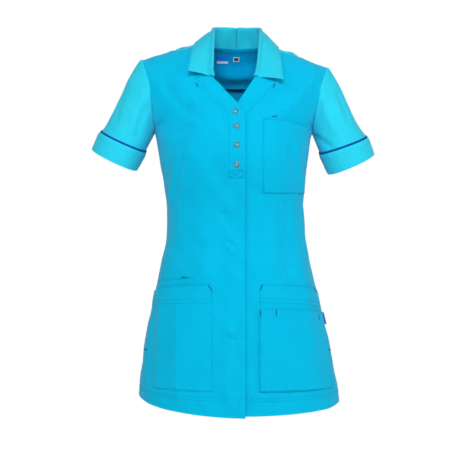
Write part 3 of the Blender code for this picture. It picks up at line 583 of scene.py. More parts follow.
# %% Read the sleeves and cuffs
SIDES = {"right": -1, "left": 1}
ALLOWANCE, TUCK = 0.006, 0.0026        # length of the extra ring, and how far it lies inside
AROUND = 20                            # points on each ring of the solids


def unit(v):
    """Arrows of length one."""
    return v / np.maximum(np.linalg.norm(v, axis=-1, keepdims=True), 1e-12)


def tube(rings, step):
    """A tube's cloth, which faces away from the middle of each ring."""
    return Cloth(rings, rings - rings.mean(axis=1, keepdims=True), step, wrap=True)


for name, side in SIDES.items():
    rings = rings_of(f"sleeve_{name}", 9, AROUND, (side * 0.17, 0.0, -0.10))
    into = ALLOWANCE * unit(rings[0] - rings[1])
    shrink = TUCK * unit(rings[0].mean(axis=0) - rings[0])
    rings = np.concatenate([[rings[0] + into + shrink, rings[0] + 0.15 * into], rings[1:]])
    cloths[f"sleeve_{name}"] = tube(rings, 0.003)
    rings = rings_of(f"cuff_{name}", 5, AROUND, (side * 0.22, 0.0, -0.20))
    cloths[f"cuff_{name}"] = tube(rings, 0.0022)
print("sleeve girth", round(cloths["sleeve_right"].size[0], 3), "m")

# %% [markdown]
# ## Creases
# Pressed twill worn on a body shows few, soft folds: the bust and waist darts pull a hollow, the
# skirt falls in long vertical turns beside the hips, and the armholes drag short folds across the
# chest.  Each crease is a line of points (x, z) on the front or back with a width and a height.
# Rays find where the line lies on the cloth.  A trough is sunk, a ridge stands up, a fold rises to a
# narrower edge between two flat sides, and a step lifts one side of its line and lowers the other.

# %% Lines on the cloth
def tree_of(names):
    """A ray tree of some cloths as they are now."""
    verts, faces, base = [], [], 0
    for cloth in (cloths[n] for n in names):
        rows, cols = cloth.points.shape[:2]
        last = cols if cloth.wrap else cols - 1
        r, c = np.meshgrid(np.arange(rows - 1), np.arange(last), indexing="ij")
        a, b = r * cols + c, r * cols + (c + 1) % cols
        quads = np.stack([a, b, b + cols, a + cols], -1).reshape(-1, 4) + base
        verts.append(cloth.points.reshape(-1, 3))
        faces.extend(quads.tolist())
        base += rows * cols
    return BVHTree.FromPolygons([tuple(p) for p in np.concatenate(verts)], faces)


FRONT_SEEN = ["front_right", "front_left", "sleeve_right", "sleeve_left", "cuff_right", "cuff_left"]
BACK_SEEN = ["back_center", "back_side_right", "back_side_left", "sleeve_right", "sleeve_left",
             "cuff_right", "cuff_left"]
F, B = -1, 1                           # the front and the back, and the way each faces along y
plain_trees = {F: tree_of(FRONT_SEEN), B: tree_of(BACK_SEEN)}


def smooth_line(corners, step):
    """Points a step apart on a smooth curve through these corners."""
    corners = np.array(corners, float)
    knots = np.concatenate([[0], np.cumsum(np.linalg.norm(np.diff(corners, axis=0), axis=1))])
    count = max(2, int(round(knots[-1] / step)) + 1)
    if len(corners) == 2:
        return corners[0] + (corners[1] - corners[0]) * np.linspace(0, 1, count)[:, None]
    return curve_through(corners, knots, np.linspace(0, knots[-1], count))


def on_cloth(tree, face, line):
    """The points of (x, z) places on the front or back, and the way the cloth faces there."""
    places, facing = [], []
    for x, z in line:
        hit, normal, _, _ = tree.ray_cast(Vector((x, face * 1.0, z)), Vector((0, -face, 0)))
        if hit is not None:
            places.append(hit)
            facing.append(normal if normal.y * face > 0 else -normal)
    return np.array(places), np.array(facing)


print("the middle of the back lies", on_cloth(plain_trees[B], B, [(0.0, -0.3)])[0].round(3))

# %% [markdown]
# ### One crease
# Every point of a cloth looks for the nearest point of the crease's line.  How far it lies beside
# the line sets how much it moves, and both ends of the line die out slowly, as folds do.

# %% The crease tool
CREASE_STEP = 0.004          # spacing of the points on a crease's line
DYING_OUT = 0.22             # share of the line at each end over which it comes up
FOLD_ROUNDING = 0.0025       # a fold's edge isn't sharper than this


def swell(away, width):
    """1 on a line and less beside it, almost nothing at twice the width."""
    return np.exp(-(away / width) ** 2)


def ease(share):
    """From 0 to 1 with a soft start and a soft end."""
    share = np.clip(share, 0, 1)
    return share * share * (3 - 2 * share)


def crease(cloth, face, kind, width, height, corners):
    """How far this crease moves each point of a cloth, in metres."""
    line, out = on_cloth(plain_trees[face], face, smooth_line(corners, CREASE_STEP))
    if len(line) < 3:
        return 0.0
    way = np.gradient(line, axis=0)
    way /= np.linalg.norm(way, axis=1, keepdims=True)
    flat = cloth.plain.reshape(-1, 3)
    near = np.zeros(len(flat), int)
    best = np.full(len(flat), np.inf)
    for j, p in enumerate(line):
        far = ((flat - p) ** 2).sum(1)
        closer = far < best
        near[closer], best[closer] = j, far[closer]
    gap = flat - line[near]
    beyond = np.abs((gap * way[near]).sum(1))
    across = (gap * np.cross(way[near], out[near])).sum(1)
    away = np.sqrt(np.maximum(best - beyond ** 2, 0.0))
    share = near / (len(line) - 1)
    fade = ease(np.minimum(share, 1 - share) / DYING_OUT) * swell(beyond, width)
    profile = swell(away, width)
    if kind == "fold":
        profile = np.exp((FOLD_ROUNDING - np.sqrt(away ** 2 + FOLD_ROUNDING ** 2)) / width)
    elif kind == "step":
        profile = profile * np.clip(across / (0.6 * width), -1, 1)
    return (height * fade * profile).reshape(cloth.points.shape[:2])


print("left of a crease at its width:", round(float(swell(1.0, 1.0)), 2))

# %% [markdown]
# ### The creases of this tunic
# Those on the front follow the picture.  Those on the back, and on the backs of the sleeves, aren't
# seen there and are of the same kind: they follow how such a garment hangs.

# %% Table of creases
CREASE_DEPTH = 1.7       # the table's heights are for a freshly ironed tunic
# face, kind, width, height, places
CREASES = [
    (F, "trough", 0.015, -0.0024, [(-.172, -.174), (-.142, -.161), (-.108, -.142), (-.084, -.126)]),
    (F, "trough", 0.011, -0.0019, [(-.163, -.166), (-.146, -.179), (-.1275, -.183), (-.105, -.178),
                                   (-.083, -.171)]),
    (F, "fold", 0.020, 0.0030, [(-.098, -.180), (-.1045, -.250), (-.110, -.300), (-.1156, -.360),
                                (-.118, -.430)]),
    (F, "ridge", 0.0085, 0.0028, [(-.114, -.205), (-.125, -.2535), (-.132, -.294), (-.136, -.345)]),
    (F, "fold", 0.020, 0.0030, [(-.119, -.500), (-.1215, -.570), (-.122, -.650), (-.1225, -.785)]),
    (F, "ridge", 0.009, 0.0014, [(-.150, -.440), (-.157, -.510), (-.159, -.570), (-.161, -.640)]),
    (F, "trough", 0.010, -0.0018, [(-.166, -.540), (-.172, -.600), (-.176, -.660), (-.180, -.730)]),
    (F, "trough", 0.014, -0.0013, [(.101, -.290), (.0998, -.386), (.104, -.437), (.1035, -.490)]),
    (F, "step", 0.009, 0.0007, [(.0840, -.150), (.085, -.224), (.0847, -.325)]),
    (F, "ridge", 0.006, 0.0020, [(.1136, -.190), (.120, -.219), (.1315, -.281), (.139, -.330)]),
    (F, "trough", 0.007, -0.0016, [(.104, -.215), (.112, -.262), (.121, -.318)]),
    (F, "ridge", 0.007, 0.0018, [(.134, -.318), (.1375, -.355), (.139, -.400), (.147, -.452)]),
    (F, "ridge", 0.018, 0.0010, [(.132, -.430), (.1406, -.499), (.146, -.590), (.152, -.700)]),
    (F, "ridge", 0.013, 0.0026, [(.172, -.052), (.129, -.110), (.090, -.156)]),
    (F, "trough", 0.012, -0.0020, [(.138, -.046), (.0975, -.100), (.056, -.141)]),
    (F, "trough", 0.010, -0.0014, [(-.160, -.070), (-.128, -.118), (-.086, -.160)]),
    (F, "trough", 0.016, -0.0014, [(-.055, -.205), (-.031, -.281), (-.006, -.330)]),
    (F, "trough", 0.014, -0.0011, [(.030, -.290), (.052, -.345), (.060, -.420)]),
    (F, "ridge", 0.020, 0.0016, [(-.060, -.420), (-.066, -.470), (-.070, -.520)]),
    (F, "trough", 0.0035, -0.0017, [(-.024, -.406), (-.013, -.414), (-.001, -.4195)]),
    (F, "ridge", 0.006, 0.0012, [(-.020, -.424), (-.010, -.430), (.000, -.437)]),
    (F, "trough", 0.0035, -0.0017, [(-.026, -.597), (-.016, -.603), (-.002, -.606)]),
    (F, "ridge", 0.006, 0.0011, [(-.022, -.584), (-.012, -.590), (-.001, -.592)]),
    (F, "trough", 0.008, -0.0014, [(-.034, -.345), (-.024, -.360), (-.010, -.368)]),
    (F, "trough", 0.0035, -0.0009, [(-.012, -.321), (-.004, -.326), (.004, -.331)]),
    (F, "trough", 0.009, -0.0012, [(.030, -.520), (.034, -.600), (.031, -.700)]),
    (F, "ridge", 0.014, 0.0014, [(-.020, -.560), (-.026, -.650), (-.024, -.750)]),
    (F, "trough", 0.010, -0.0021, [(-.184, -.122), (-.200, -.164), (-.207, -.205)]),
    (F, "ridge", 0.010, 0.0015, [(-.186, -.080), (-.196, -.1185), (-.212, -.160), (-.219, -.206)]),
    (F, "trough", 0.007, -0.0016, [(-.236, -.110), (-.246, -.140), (-.252, -.172)]),
    (F, "trough", 0.008, -0.0028, [(.156, -.186), (.176, -.204), (.199, -.221)]),
    (F, "ridge", 0.009, 0.0024, [(.172, -.094), (.187, -.149), (.208, -.200)]),
    (F, "trough", 0.008, -0.0020, [(.205, -.090), (.221, -.130), (.232, -.172)]),
    (F, "trough", 0.006, -0.0016, [(.160, -.165), (.168, -.150), (.177, -.120)]),
    (F, "step", 0.0040, 0.0007, [(-.0895, -.067), (-.084, -.0756), (-.051, -.114), (-.019, -.1495)]),
    (F, "step", 0.0040, -0.0007, [(.085, -.076), (.075, -.088), (.046, -.120), (.0195, -.149)]),
    (B, "trough", 0.013, -0.0022, [(-.165, -.140), (-.118, -.192), (-.070, -.235)]),
    (B, "trough", 0.011, -0.0019, [(.168, -.128), (.122, -.178), (.082, -.226)]),
    (B, "ridge", 0.015, 0.0018, [(-.150, -.080), (-.110, -.130), (-.064, -.160)]),
    (B, "trough", 0.010, -0.0018, [(-.095, -.345), (-.050, -.372), (-.006, -.380)]),
    (B, "trough", 0.009, -0.0015, [(.092, -.382), (.045, -.403), (.010, -.400)]),
    (B, "ridge", 0.012, 0.0016, [(-.090, -.400), (-.040, -.418), (.020, -.432)]),
    (B, "fold", 0.011, 0.0018, [(-.120, -.260), (-.124, -.340), (-.132, -.430), (-.150, -.520)]),
    (B, "fold", 0.010, -0.0016, [(.118, -.270), (.121, -.360), (.134, -.450), (.149, -.560)]),
    (B, "ridge", 0.017, 0.0026, [(-.060, -.500), (-.066, -.620), (-.071, -.750)]),
    (B, "trough", 0.014, -0.0024, [(-.020, -.530), (-.016, -.640), (-.018, -.750)]),
    (B, "ridge", 0.015, 0.0022, [(.036, -.520), (.041, -.640), (.046, -.750)]),
    (B, "trough", 0.012, -0.0020, [(.086, -.500), (.096, -.620), (.100, -.750)]),
    (B, "fold", 0.010, 0.0015, [(-.148, -.520), (-.160, -.620), (-.168, -.740)]),
    (B, "trough", 0.009, -0.0026, [(-.190, -.110), (-.208, -.150), (-.222, -.200)]),
    (B, "ridge", 0.009, 0.0020, [(-.214, -.085), (-.232, -.130), (-.246, -.180)]),
    (B, "trough", 0.008, -0.0024, [(.182, -.120), (.200, -.160), (.212, -.205)]),
    (B, "ridge", 0.009, 0.0018, [(.206, -.090), (.222, -.140), (.236, -.190)])]
print("creases:", len(CREASES))

# %% [markdown]
# ### Lay the creases in
# Each crease is added to every cloth it comes near, those of the front to all but the back panels
# and those of the back to all but the fronts.  Sleeves and cuffs take both.  Under them lies a slow
# unevenness of less than a millimetre, because no pressed cloth is quite flat.

# %% Heights of the cloths
PANEL_WAVES, OTHER_WAVES = 0.0007, 0.00045
CREASE_REACH = 0.05                    # a crease farther than this from a cloth is left out


def unevenness(points, amount):
    """A slow unevenness, the same on every run: a few waves of 5 to 14 cm across each other."""
    x, y, z = points[..., 0], points[..., 1], points[..., 2]
    wave = (np.sin(61 * x + 23 * z + 1.3) * np.sin(47 * z - 31 * x + 0.4 + 9 * y)
            + 0.7 * np.sin(93 * x - 52 * z + 2.1) * np.sin(71 * z + 40 * x + 14 * y)
            + 0.5 * np.sin(128 * x + 97 * z + 0.8 + 20 * y))
    return amount * wave


for name, cloth in cloths.items():
    height = unevenness(cloth.plain, PANEL_WAVES if name in PANELS else OTHER_WAVES)
    low = cloth.plain.min(axis=(0, 1)) - CREASE_REACH
    high = cloth.plain.max(axis=(0, 1)) + CREASE_REACH
    for face, kind, width, rise, places in CREASES:
        x, z = np.array(places).T
        if x.max() < low[0] or x.min() > high[0] or z.max() < low[2] or z.min() > high[2]:
            continue
        if name.startswith("back") == (face == F) and not name.startswith(("sleeve", "cuff")):
            continue
        height = height + CREASE_DEPTH * crease(cloth, face, kind, width, rise, places)
    cloth.height = height
    print(f"{name}: from {height.min() * 1000:.1f} to {height.max() * 1000:.1f} mm")

# %% [markdown]
# ## Seams, hems and pocket mouths
# Cloth sinks where it is stitched to its neighbour, and puckers a little beside the stitches because
# the thread is tighter than the cloth.  A pocket's mouth stands a millimetre or two open.

# %% Seams and mouths
BODY_DIP, POCKET_DIP = (0.0005, 0.0020), (0.0011, 0.0022)    # depth of a sewn edge, and its width
PUCKER, PUCKER_REACH = 0.00035, 0.007
POCKET_SEAMS = ("first_row", "first_col", "last_col")
SEAMS = {"front_right": ("last_col", "last_row"), "front_left": ("last_col", "last_row"),
         "back_center": ("first_col", "last_col", "last_row"),
         "back_side_right": ("last_col", "last_row"), "back_side_left": ("last_col", "last_row"),
         "sleeve_right": ("first_row", "last_row"), "sleeve_left": ("first_row", "last_row"),
         "cuff_right": ("first_row",), "cuff_left": ("first_row",),
         "hip_pocket_right_inner": ("last_col", "first_col")}


def dip(cloth, sides, depth, reach):
    """How far each point sinks and puckers towards the seams on these sides."""
    height = np.zeros(cloth.points.shape[:2])
    for side in sides:
        away = cloth.from_edge(side)
        along = cloth.rows[:, None] if side.endswith("col") else cloth.cols[None, :]
        height -= depth * swell(away, reach)
        pucker = np.sin(along * 520 + 1.7 * np.sin(along * 71)) * np.sin(along * 97 + 0.6)
        height += PUCKER * pucker * swell(away, PUCKER_REACH) * np.minimum(away / 0.002, 1)
    return height


def arch(cloth):
    """Nothing at a cloth's side edges and 1 in its middle."""
    return np.sin(pi * np.clip(cloth.cols / cloth.cols[-1], 0, 0.9999))[None, :]


def mouth(cloth, gape, reach=0.030):
    """A pocket's top edge stands away from the front, most in its middle."""
    rise = np.clip(1 - cloth.from_edge("last_row") / reach, 0, 1) ** 2
    return gape * rise * arch(cloth) ** 0.7


for name, cloth in cloths.items():
    if name in POCKETS:
        cloth.height += dip(cloth, SEAMS.get(name, POCKET_SEAMS), *POCKET_DIP)
    else:
        cloth.height += dip(cloth, SEAMS[name], *BODY_DIP)
MOUTHS = {"hip_pocket_right": 0.0022, "hip_pocket_left": 0.0018, "hip_pocket_left_front": 0.0022,
          "chest_pocket": 0.0028}
for name, gape in MOUTHS.items():
    cloths[name].height += mouth(cloths[name], gape)
print("pocket mouths:", MOUTHS)

# %% [markdown]
# ## Laps and darts
# The right front lies on the left one and stands off it a little at its free edge.  Behind, the side
# panels run under the centre back, so their hidden edges are sunk out of its way.  Each front has one
# long dart: a fine groove with a low rise beside it, where the folded cloth lies underneath.

# %% Laps and darts
FREE_EDGE = (0.0020, 0.010)            # rise and width of the right front's free edge
HIDDEN_EDGE = (0.0080, 0.022)          # depth and width of the side panels' hidden edges
BACK_EDGE, BACK_EDGE_TOP, BACK_EDGE_REACH = 0.0014, 0.0010, 0.010
DART_GROOVE = (0.0016, 0.0010)         # depth and width
DART_RISE = (0.0006, 0.0022)
DARTS = {"front_right": (-0.496, -0.205), "front_left": (-0.508, -0.296)}   # foot and tip

front = cloths["front_right"]
front.height += FREE_EDGE[0] * swell(front.from_edge("first_col"), FREE_EDGE[1])
for name in ("back_side_right", "back_side_left"):
    under = 1 - cloths[name].from_edge("first_col") / HIDDEN_EDGE[1]
    cloths[name].height -= HIDDEN_EDGE[0] * ease(under)
back = cloths["back_center"]
edge = np.minimum(back.from_edge("first_col"), back.from_edge("last_col"))
top = np.clip(1 - back.from_edge("last_row") / 0.05, 0, 1)
back.height -= (BACK_EDGE + BACK_EDGE_TOP * top) * swell(edge, BACK_EDGE_REACH)
for name, (foot, tip) in DARTS.items():
    cloth = cloths[name]
    across = cloth.cols[None, :] - cloth.col_knots[DART_COL]
    z = cloth.plain[..., 2]
    length = np.clip(np.minimum(z - foot, tip - z) / 0.035, 0, 1)
    cloth.height -= length * (DART_GROOVE[0] * swell(across, DART_GROOVE[1])
                              - DART_RISE[0] * swell(across + 0.0030, DART_RISE[1]))
for cloth in cloths.values():
    cloth.raise_by(cloth.height)
print("darts:", {name: round(tip - foot, 3) for name, (foot, tip) in DARTS.items()}, "m long")

# %% [markdown]
# ## Sew the first pieces
# Body, pockets, sleeves and cuffs become shells now.  The body panels are thicker in their turned
# hems, and a cuff is two layers all over.

# %% Shells of body, pockets, sleeves and cuffs
CLOTH, HEM, CUFF = 0.0009, 0.0018, 0.0022     # thickness of one layer, a turned hem and a cuff
HEM_WIDTH = 0.022


def hem_thick(cloth):
    """One layer of cloth, and more in the turned hem."""
    return CLOTH + (HEM - CLOTH) * (cloth.from_edge("first_row") < HEM_WIDTH)


# The insides of the panels and pockets take the darker blue of painted shade.
for name in PANELS:
    light = name == "back_center"
    shell(name + "_cloth", cloths[name], hem_thick(cloths[name]),
                         LIGHT_BLUE if light else BODY_BLUE, INSIDE_PAINTED_SHADE,
                         (name,))
for name in POCKETS:
    shell(name + "_cloth", cloths[name], CLOTH, BODY_BLUE, INSIDE_PAINTED_SHADE,
                         (name,))
for name in SIDES:
    for part, thick in (("sleeve", CLOTH), ("cuff", CUFF)):
        node = f"{part}_{name}"
        shell(node + "_cloth", cloths[node], thick, LIGHT_BLUE, LIGHT_BLUE,
                             (node,))

# %% [markdown]
# ## The collar
# The collar is a stand and a leaf in one, folded over at its crest, two layers of cloth with a
# light interfacing between them.  Each half runs from its front point to the centre back, where the
# two are seamed.  The stand pulls into a few soft folds behind the neck.
# The seam behind the neck is levelled first, and the stand above it flattened, so that both halves
# meet.  The leaf's front corner lifts off the chest by a few millimetres.

# %% Collar halves
NECK_LEVEL = 0.0008                                # height of the seam behind the neck
LEVELLED = {0: 1.0, 1: 0.6, 2: 0.25}               # columns of the stand and their share of it
FLATTENED = {1: 0.31, 2: 0.66}                     # columns set between the seam and column 3
STAND_HEIGHT = 0.016                               # middle of the stand, and its half height
COLLAR, EDGE_STITCH = 0.0018, 0.0032               # thickness, and the stitches' place from the edge
CORNER_LIFT, LEAF_SAG = 0.0085, 0.0024
CREST = 0.045                                      # from the neck seam to the crest, along the cloth
LEAF_FROM, LEAF_OVER = 0.050, 0.035                # where the leaf starts to hang, and how slowly
SEAM_DIP = (0.0016, 0.0018)                        # the seam at the centre back: depth and width
STITCH_DIP, EDGE_ROLL, EDGE_WIDE = 0.00035, 0.0004, 0.0010
NOT_SEWN = 0.05                                    # keeps the stand's front end out of the stitching
# place along the collar (0 front, 1 centre back), width, rise
STAND_FOLDS = {"right": ((0.985, 0.05, -0.0030), (0.90, 0.05, 0.0014), (0.70, 0.06, -0.0010)),
               "left": ((0.90, 0.05, -0.0030), (0.80, 0.05, 0.0014), (0.70, 0.06, -0.0010))}


def levelled(grid):
    """The collar's grid with its neck seam level behind and its stand flat above it."""
    behind = np.clip((grid[:, 0, 1] - 0.005) / 0.025, 0, 1)
    for col, share in LEVELLED.items():
        grid[:, col, 2] -= share * behind * np.clip(grid[:, 0, 2] - NECK_LEVEL, -0.003, 0.005)
    for col, share in FLATTENED.items():
        level = grid[:, 0] * (1 - share) + grid[:, 3] * share
        grid[:, col] += 0.8 * behind[:, None] * (level - grid[:, col])
    return grid


def collar_height(cloth, folds):
    """Folds of the stand, the sewn edge, and the sag in the middle of the leaf."""
    along, down = cloth.rows[:, None] / cloth.rows[-1], cloth.cols[None, :]
    edge = np.minimum(cloth.from_edge("last_col"),
                      cloth.from_edge("first_row") + NOT_SEWN * (down < CREST))
    leaf = np.clip((down - LEAF_FROM) / LEAF_OVER, 0, 1)
    height = sum(rise * swell(along - place, width) for place, width, rise in folds)
    height = height * swell(down - STAND_HEIGHT, STAND_HEIGHT) + unevenness(cloth.plain, 0.0003)
    height += dip(cloth, ("last_row",), *SEAM_DIP)
    height -= STITCH_DIP * swell(edge - EDGE_STITCH, EDGE_WIDE) + EDGE_ROLL * swell(edge, EDGE_WIDE)
    height -= LEAF_SAG * leaf * swell(along - 0.50, 0.13)
    lift = CORNER_LIFT * leaf ** 2 * swell(along, 0.22)
    return height, lift


for way, side in SIDES.items():
    name = f"collar_{way}"
    grid, outward = grid_of(name, 12, 11, (0.3 * side, 1, 0.5), (side, 0, -0.2))
    grid[-1, :, 0] = 0.0
    cloths[name] = cloth = Cloth(levelled(grid), outward, step=0.0022)
    height, lift = collar_height(cloth, STAND_FOLDS[way])
    cloth.raise_by(height)
    cloth.points[..., 1] -= lift
    shell(name + "_cloth", cloth, COLLAR, COLLAR_BLUE, COLLAR_BLUE,
                         (name,), sharp=75)

# %% [markdown]
# ## The facing inside the back neck
# A curved facing of the body cloth finishes the inside of the neck.  Its lower edge is turned,
# stitched twice and hangs a little away from the back, which puts the dark line under it.
# Its top edge lies in the collar's seam, and one slanting fold runs down from there.

# %% Back neck facing
INSIDE_SEAM, OVER_SEAM = 0.0016, 0.0008     # the top edge lies in front of the seam, and covers it
FOOT, BELLY, PULLED = 0.0075, 0.0125, 0.0060     # rises of the foot, the belly and the pulled side
BELLY_AT, BELLY_WIDE = 0.031, 0.016              # up from the foot
FOLD_AT, ACROSS_FOLD = (0.014, -0.022), (0.78, 0.62)     # a place (x, z) on the fold, and square to it
TOP_ROLL = 0.0020                                # the rounded turn below the collar's seam

grid, outward = grid_of("yoke_facing", 7, 9, UP, OUT_LEFT, seen_side=1)
seam = np.concatenate([cloths["collar_right"].points[:, 0], cloths["collar_left"].points[::-1, 0]])
seam = seam[seam[:, 1] > 0.005]
for c, x in enumerate(grid[-1, :, 0]):
    y, z = (np.interp(x, seam[:, 0], seam[:, axis]) for axis in (1, 2))
    inward = unit(np.array((-x, -0.02 - y, 0.0)))
    grid[-1, c] = np.array((x, y, max(z, 0.0004) + OVER_SEAM)) + INSIDE_SEAM * inward
    grid[-2, c] = grid[-2, c] * 0.75 + (grid[-1, c] + grid[-3, c]) * 0.125
cloths["yoke_facing"] = cloth = Cloth(grid, outward, step=0.0025)
up, down = cloth.from_edge("first_row"), cloth.from_edge("last_row")
hanging = BELLY * swell(up - BELLY_AT, BELLY_WIDE) + FOOT * np.exp(-(up / 0.045) ** 4)
beside_fold = ((cloth.plain[..., 0] - FOLD_AT[0]) * ACROSS_FOLD[0]
               + (cloth.plain[..., 2] - FOLD_AT[1]) * ACROSS_FOLD[1])
hanging += (PULLED * (1 - np.tanh(beside_fold / 0.008)) / 2 * swell(up - 0.050, 0.028)
            * np.clip(down / 0.014, 0, 1))
cloth.raise_by(hanging * arch(cloth) ** 0.6 + TOP_ROLL * swell(down - 0.006, 0.007)
               + unevenness(cloth.plain, 0.0006))
print("neck seam", [round(float(z), 4) for z in grid[-1, :, 2]])
# The facing's darker blue is painted shade of the inside of the neck.
shell("yoke_facing_cloth", cloth, CLOTH, FACING_PAINTED_SHADE, INSIDE_PAINTED_SHADE,
                              ("yoke_facing",))

# %% [markdown]
# ## The back laps over the shoulders
# The light centre back comes forward over each shoulder and is sewn down on the front, so a light
# strip shows beside the collar.  It is a small grid laid on the front's own top rows.

# %% Shoulder laps
def line_on(cloth, edge, inset):
    """The line that keeps `inset` from one edge of a cloth, and the way the cloth faces on it."""
    row = edge.endswith("row")
    across = cloth.rows if row else cloth.cols
    at = inset if edge.startswith("first") else across[-1] - inset
    k = min(max(int(np.searchsorted(across, at)) - 1, 0), len(across) - 2)
    t = (at - across[k]) / (across[k + 1] - across[k])
    found = []
    for values in (cloth.points, cloth.facing()):
        values = values if row else values.swapaxes(0, 1)
        line = values[k] * (1 - t) + values[k + 1] * t
        found.append(np.concatenate([line, line[:1]]) if cloth.wrap else line)
    return found


def below_shoulder(front, inset):
    """The line on a front `inset` below its shoulder edge; less than nothing lies beyond it."""
    if inset < 0:
        return below_shoulder(front, 0.0) * 2 - below_shoulder(front, -inset)
    return line_on(front, "last_row", inset)[0]


LAP_FROM, LAP_TO = 0.070, 0.1275       # from beside the collar to near the sleeve
LAP_WIDTH, LAP_TAPER = 0.0150, 0.0045  # width at the collar, and how much less it is at the sleeve
LAP_RISE = 0.0013
for name in SIDES:
    front = cloths[f"front_{name}"]
    top = np.abs(below_shoulder(front, 0.0)[:, 0])
    keep = np.flatnonzero((top > LAP_FROM) & (top < LAP_TO))
    grid = []
    for share in (1.0, 0.75, 0.5, 0.25, 0.0, -0.15, -0.35):
        widths = LAP_WIDTH - LAP_TAPER * (top[keep] - LAP_FROM) / (LAP_TO - LAP_FROM)
        grid.append([below_shoulder(front, share * w)[c] for c, w in zip(keep, widths)])
    grid = np.array(grid)
    cloths[f"lap_{name}"] = cloth = Cloth(grid, np.zeros_like(grid) + (0, -0.5, 0.9), step=0.0022)
    cloth.raise_by(LAP_RISE - 0.0007 * swell(cloth.from_edge("first_row"), 0.0012))
    shell(f"back_center_lap_{name}", cloth, CLOTH, LIGHT_BLUE, LIGHT_BLUE)

# %% [markdown]
# ## Piping
# A cotton cord covered with navy bias strip lies in the seam between sleeve and cuff and stands
# about two millimetres out of it.

# %% Piping cords
CORD_WIDE, CORD_HIGH, CORD_OUT = 0.0039, 0.0026, 0.0012     # along the sleeve, out of it, its middle
CORD_TURNS = 10
CORD_STEP, CORD_ROUND = 0.0022, 0.001      # what one point along and one round it takes of the weave


def ring_faces(rings, turns):
    """Faces between rings of points, where the last ring joins the first."""
    return [(i * turns + j, i * turns + (j + 1) % turns, (i + 1) % rings * turns + (j + 1) % turns,
             (i + 1) % rings * turns + j) for i in range(rings) for j in range(turns)]


def cord(name, centre, outward):
    """A closed cord on a ring of points, flattened where the seam holds it."""
    across = np.cross(unit(np.roll(centre, -1, 0) - np.roll(centre, 1, 0)), outward)
    points = np.array([centre + across * CORD_WIDE / 2 * cos(a) + outward * CORD_HIGH / 2 * sin(a)
                       for a in np.linspace(0, 2 * pi, CORD_TURNS, endpoint=False)]).swapaxes(0, 1)
    uvs = np.stack(np.broadcast_arrays(np.arange(CORD_TURNS) * CORD_ROUND,
                                       np.arange(len(centre))[:, None] * CORD_STEP), -1)
    return make_mesh(name, points, ring_faces(len(centre), CORD_TURNS), NAVY, uvs.reshape(-1, 2),
                     sharp=80)


for name in SIDES:
    sleeve = cloths[f"sleeve_{name}"]
    row = int(np.argmin(np.abs(sleeve.rows - sleeve.row_knots[-2])))
    out = sleeve.facing()[row]
    piece = cord(f"piping_{name}_cord", sleeve.points[row] + out * CORD_OUT, out)
    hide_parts(f"piping_{name}")
print("piping round the sleeves:", len(out), "points")

# %% [markdown]
# ## Thread
# The tunic is top-stitched in the colour of its cloth, three stitches to the centimetre; the blue and
# hem threads are drawn darker than the body blue, as painted shade of the sunk stitch line.  A stitch
# is one grain of thread that dips into the cloth at both ends.  The grain is shaped once, and arrays
# place it thousands of times in one joined mesh for each piece of cloth.

# %% The stitch tool
PITCH, STITCH = 0.0033, 0.0026         # from one stitch to the next, and the length of one
FINE, BOLD = 0.0008, 0.0013            # widths of sewing thread
TACK_PITCH, TACK_WIDE = 0.00065, 0.0021
stitches = {}
seen_trees = {F: tree_of(FRONT_SEEN + list(POCKETS)), B: tree_of(BACK_SEEN)}


def spaced(points, out, pitch):
    """Places every pitch along a line, the way the line runs there and the way the cloth faces."""
    far = np.concatenate([[0], np.cumsum(np.linalg.norm(np.diff(points, axis=0), axis=1))])
    count = max(1, int(round(far[-1] / pitch)))
    at = (np.arange(count) + 0.5) * far[-1] / count

    def read(values, shift=0.0):
        return np.stack([np.interp(at + shift, far, values[:, i]) for i in range(3)], 1)
    return read(points), unit(read(points, 0.0008) - read(points, -0.0008)), unit(read(out))


def sew(owner, finish, points, out, wide=FINE):
    """Top-stitching: grains of thread one after the other along the line."""
    place, ahead, facing = spaced(points, out, PITCH)
    stitches.setdefault((owner, finish), []).append((place, ahead, facing, STITCH, wide))


def bar_tack(owner, start, end):
    """Thread wound crosswise over a short bar, close together, to hold the corner of a pocket."""
    points, out = on_cloth(seen_trees[F], F, smooth_line([start, end], 0.001))
    place, ahead, facing = spaced(points, out, TACK_PITCH)
    stitches.setdefault((owner, "navy"), []).append(
        (place + facing * 0.0002, np.cross(facing, ahead), facing, TACK_WIDE, FINE))


print("stitches on 10 cm:", len(spaced(np.array([[0, 0, 0], [0.1, 0, 0]]), np.ones((2, 3)), PITCH)[0]))

# %% [markdown]
# ### Where the stitches run
# Hems and pocket mouths have two lines five to eight millimetres apart, pocket sides and collar one
# line close to the edge.  A crossed box closes the foot of the placket, and bar tacks hold the
# corners of the pockets.  The hem of the back, the edges of the centre back and the lines across the
# shoulder blades aren't seen in the picture and follow the front's way of sewing.

# %% Rows of stitches
ALL = (-9.0, 9.0)                      # from the lowest to the highest place
EDGE = (0.0016,)                       # one line close to an edge
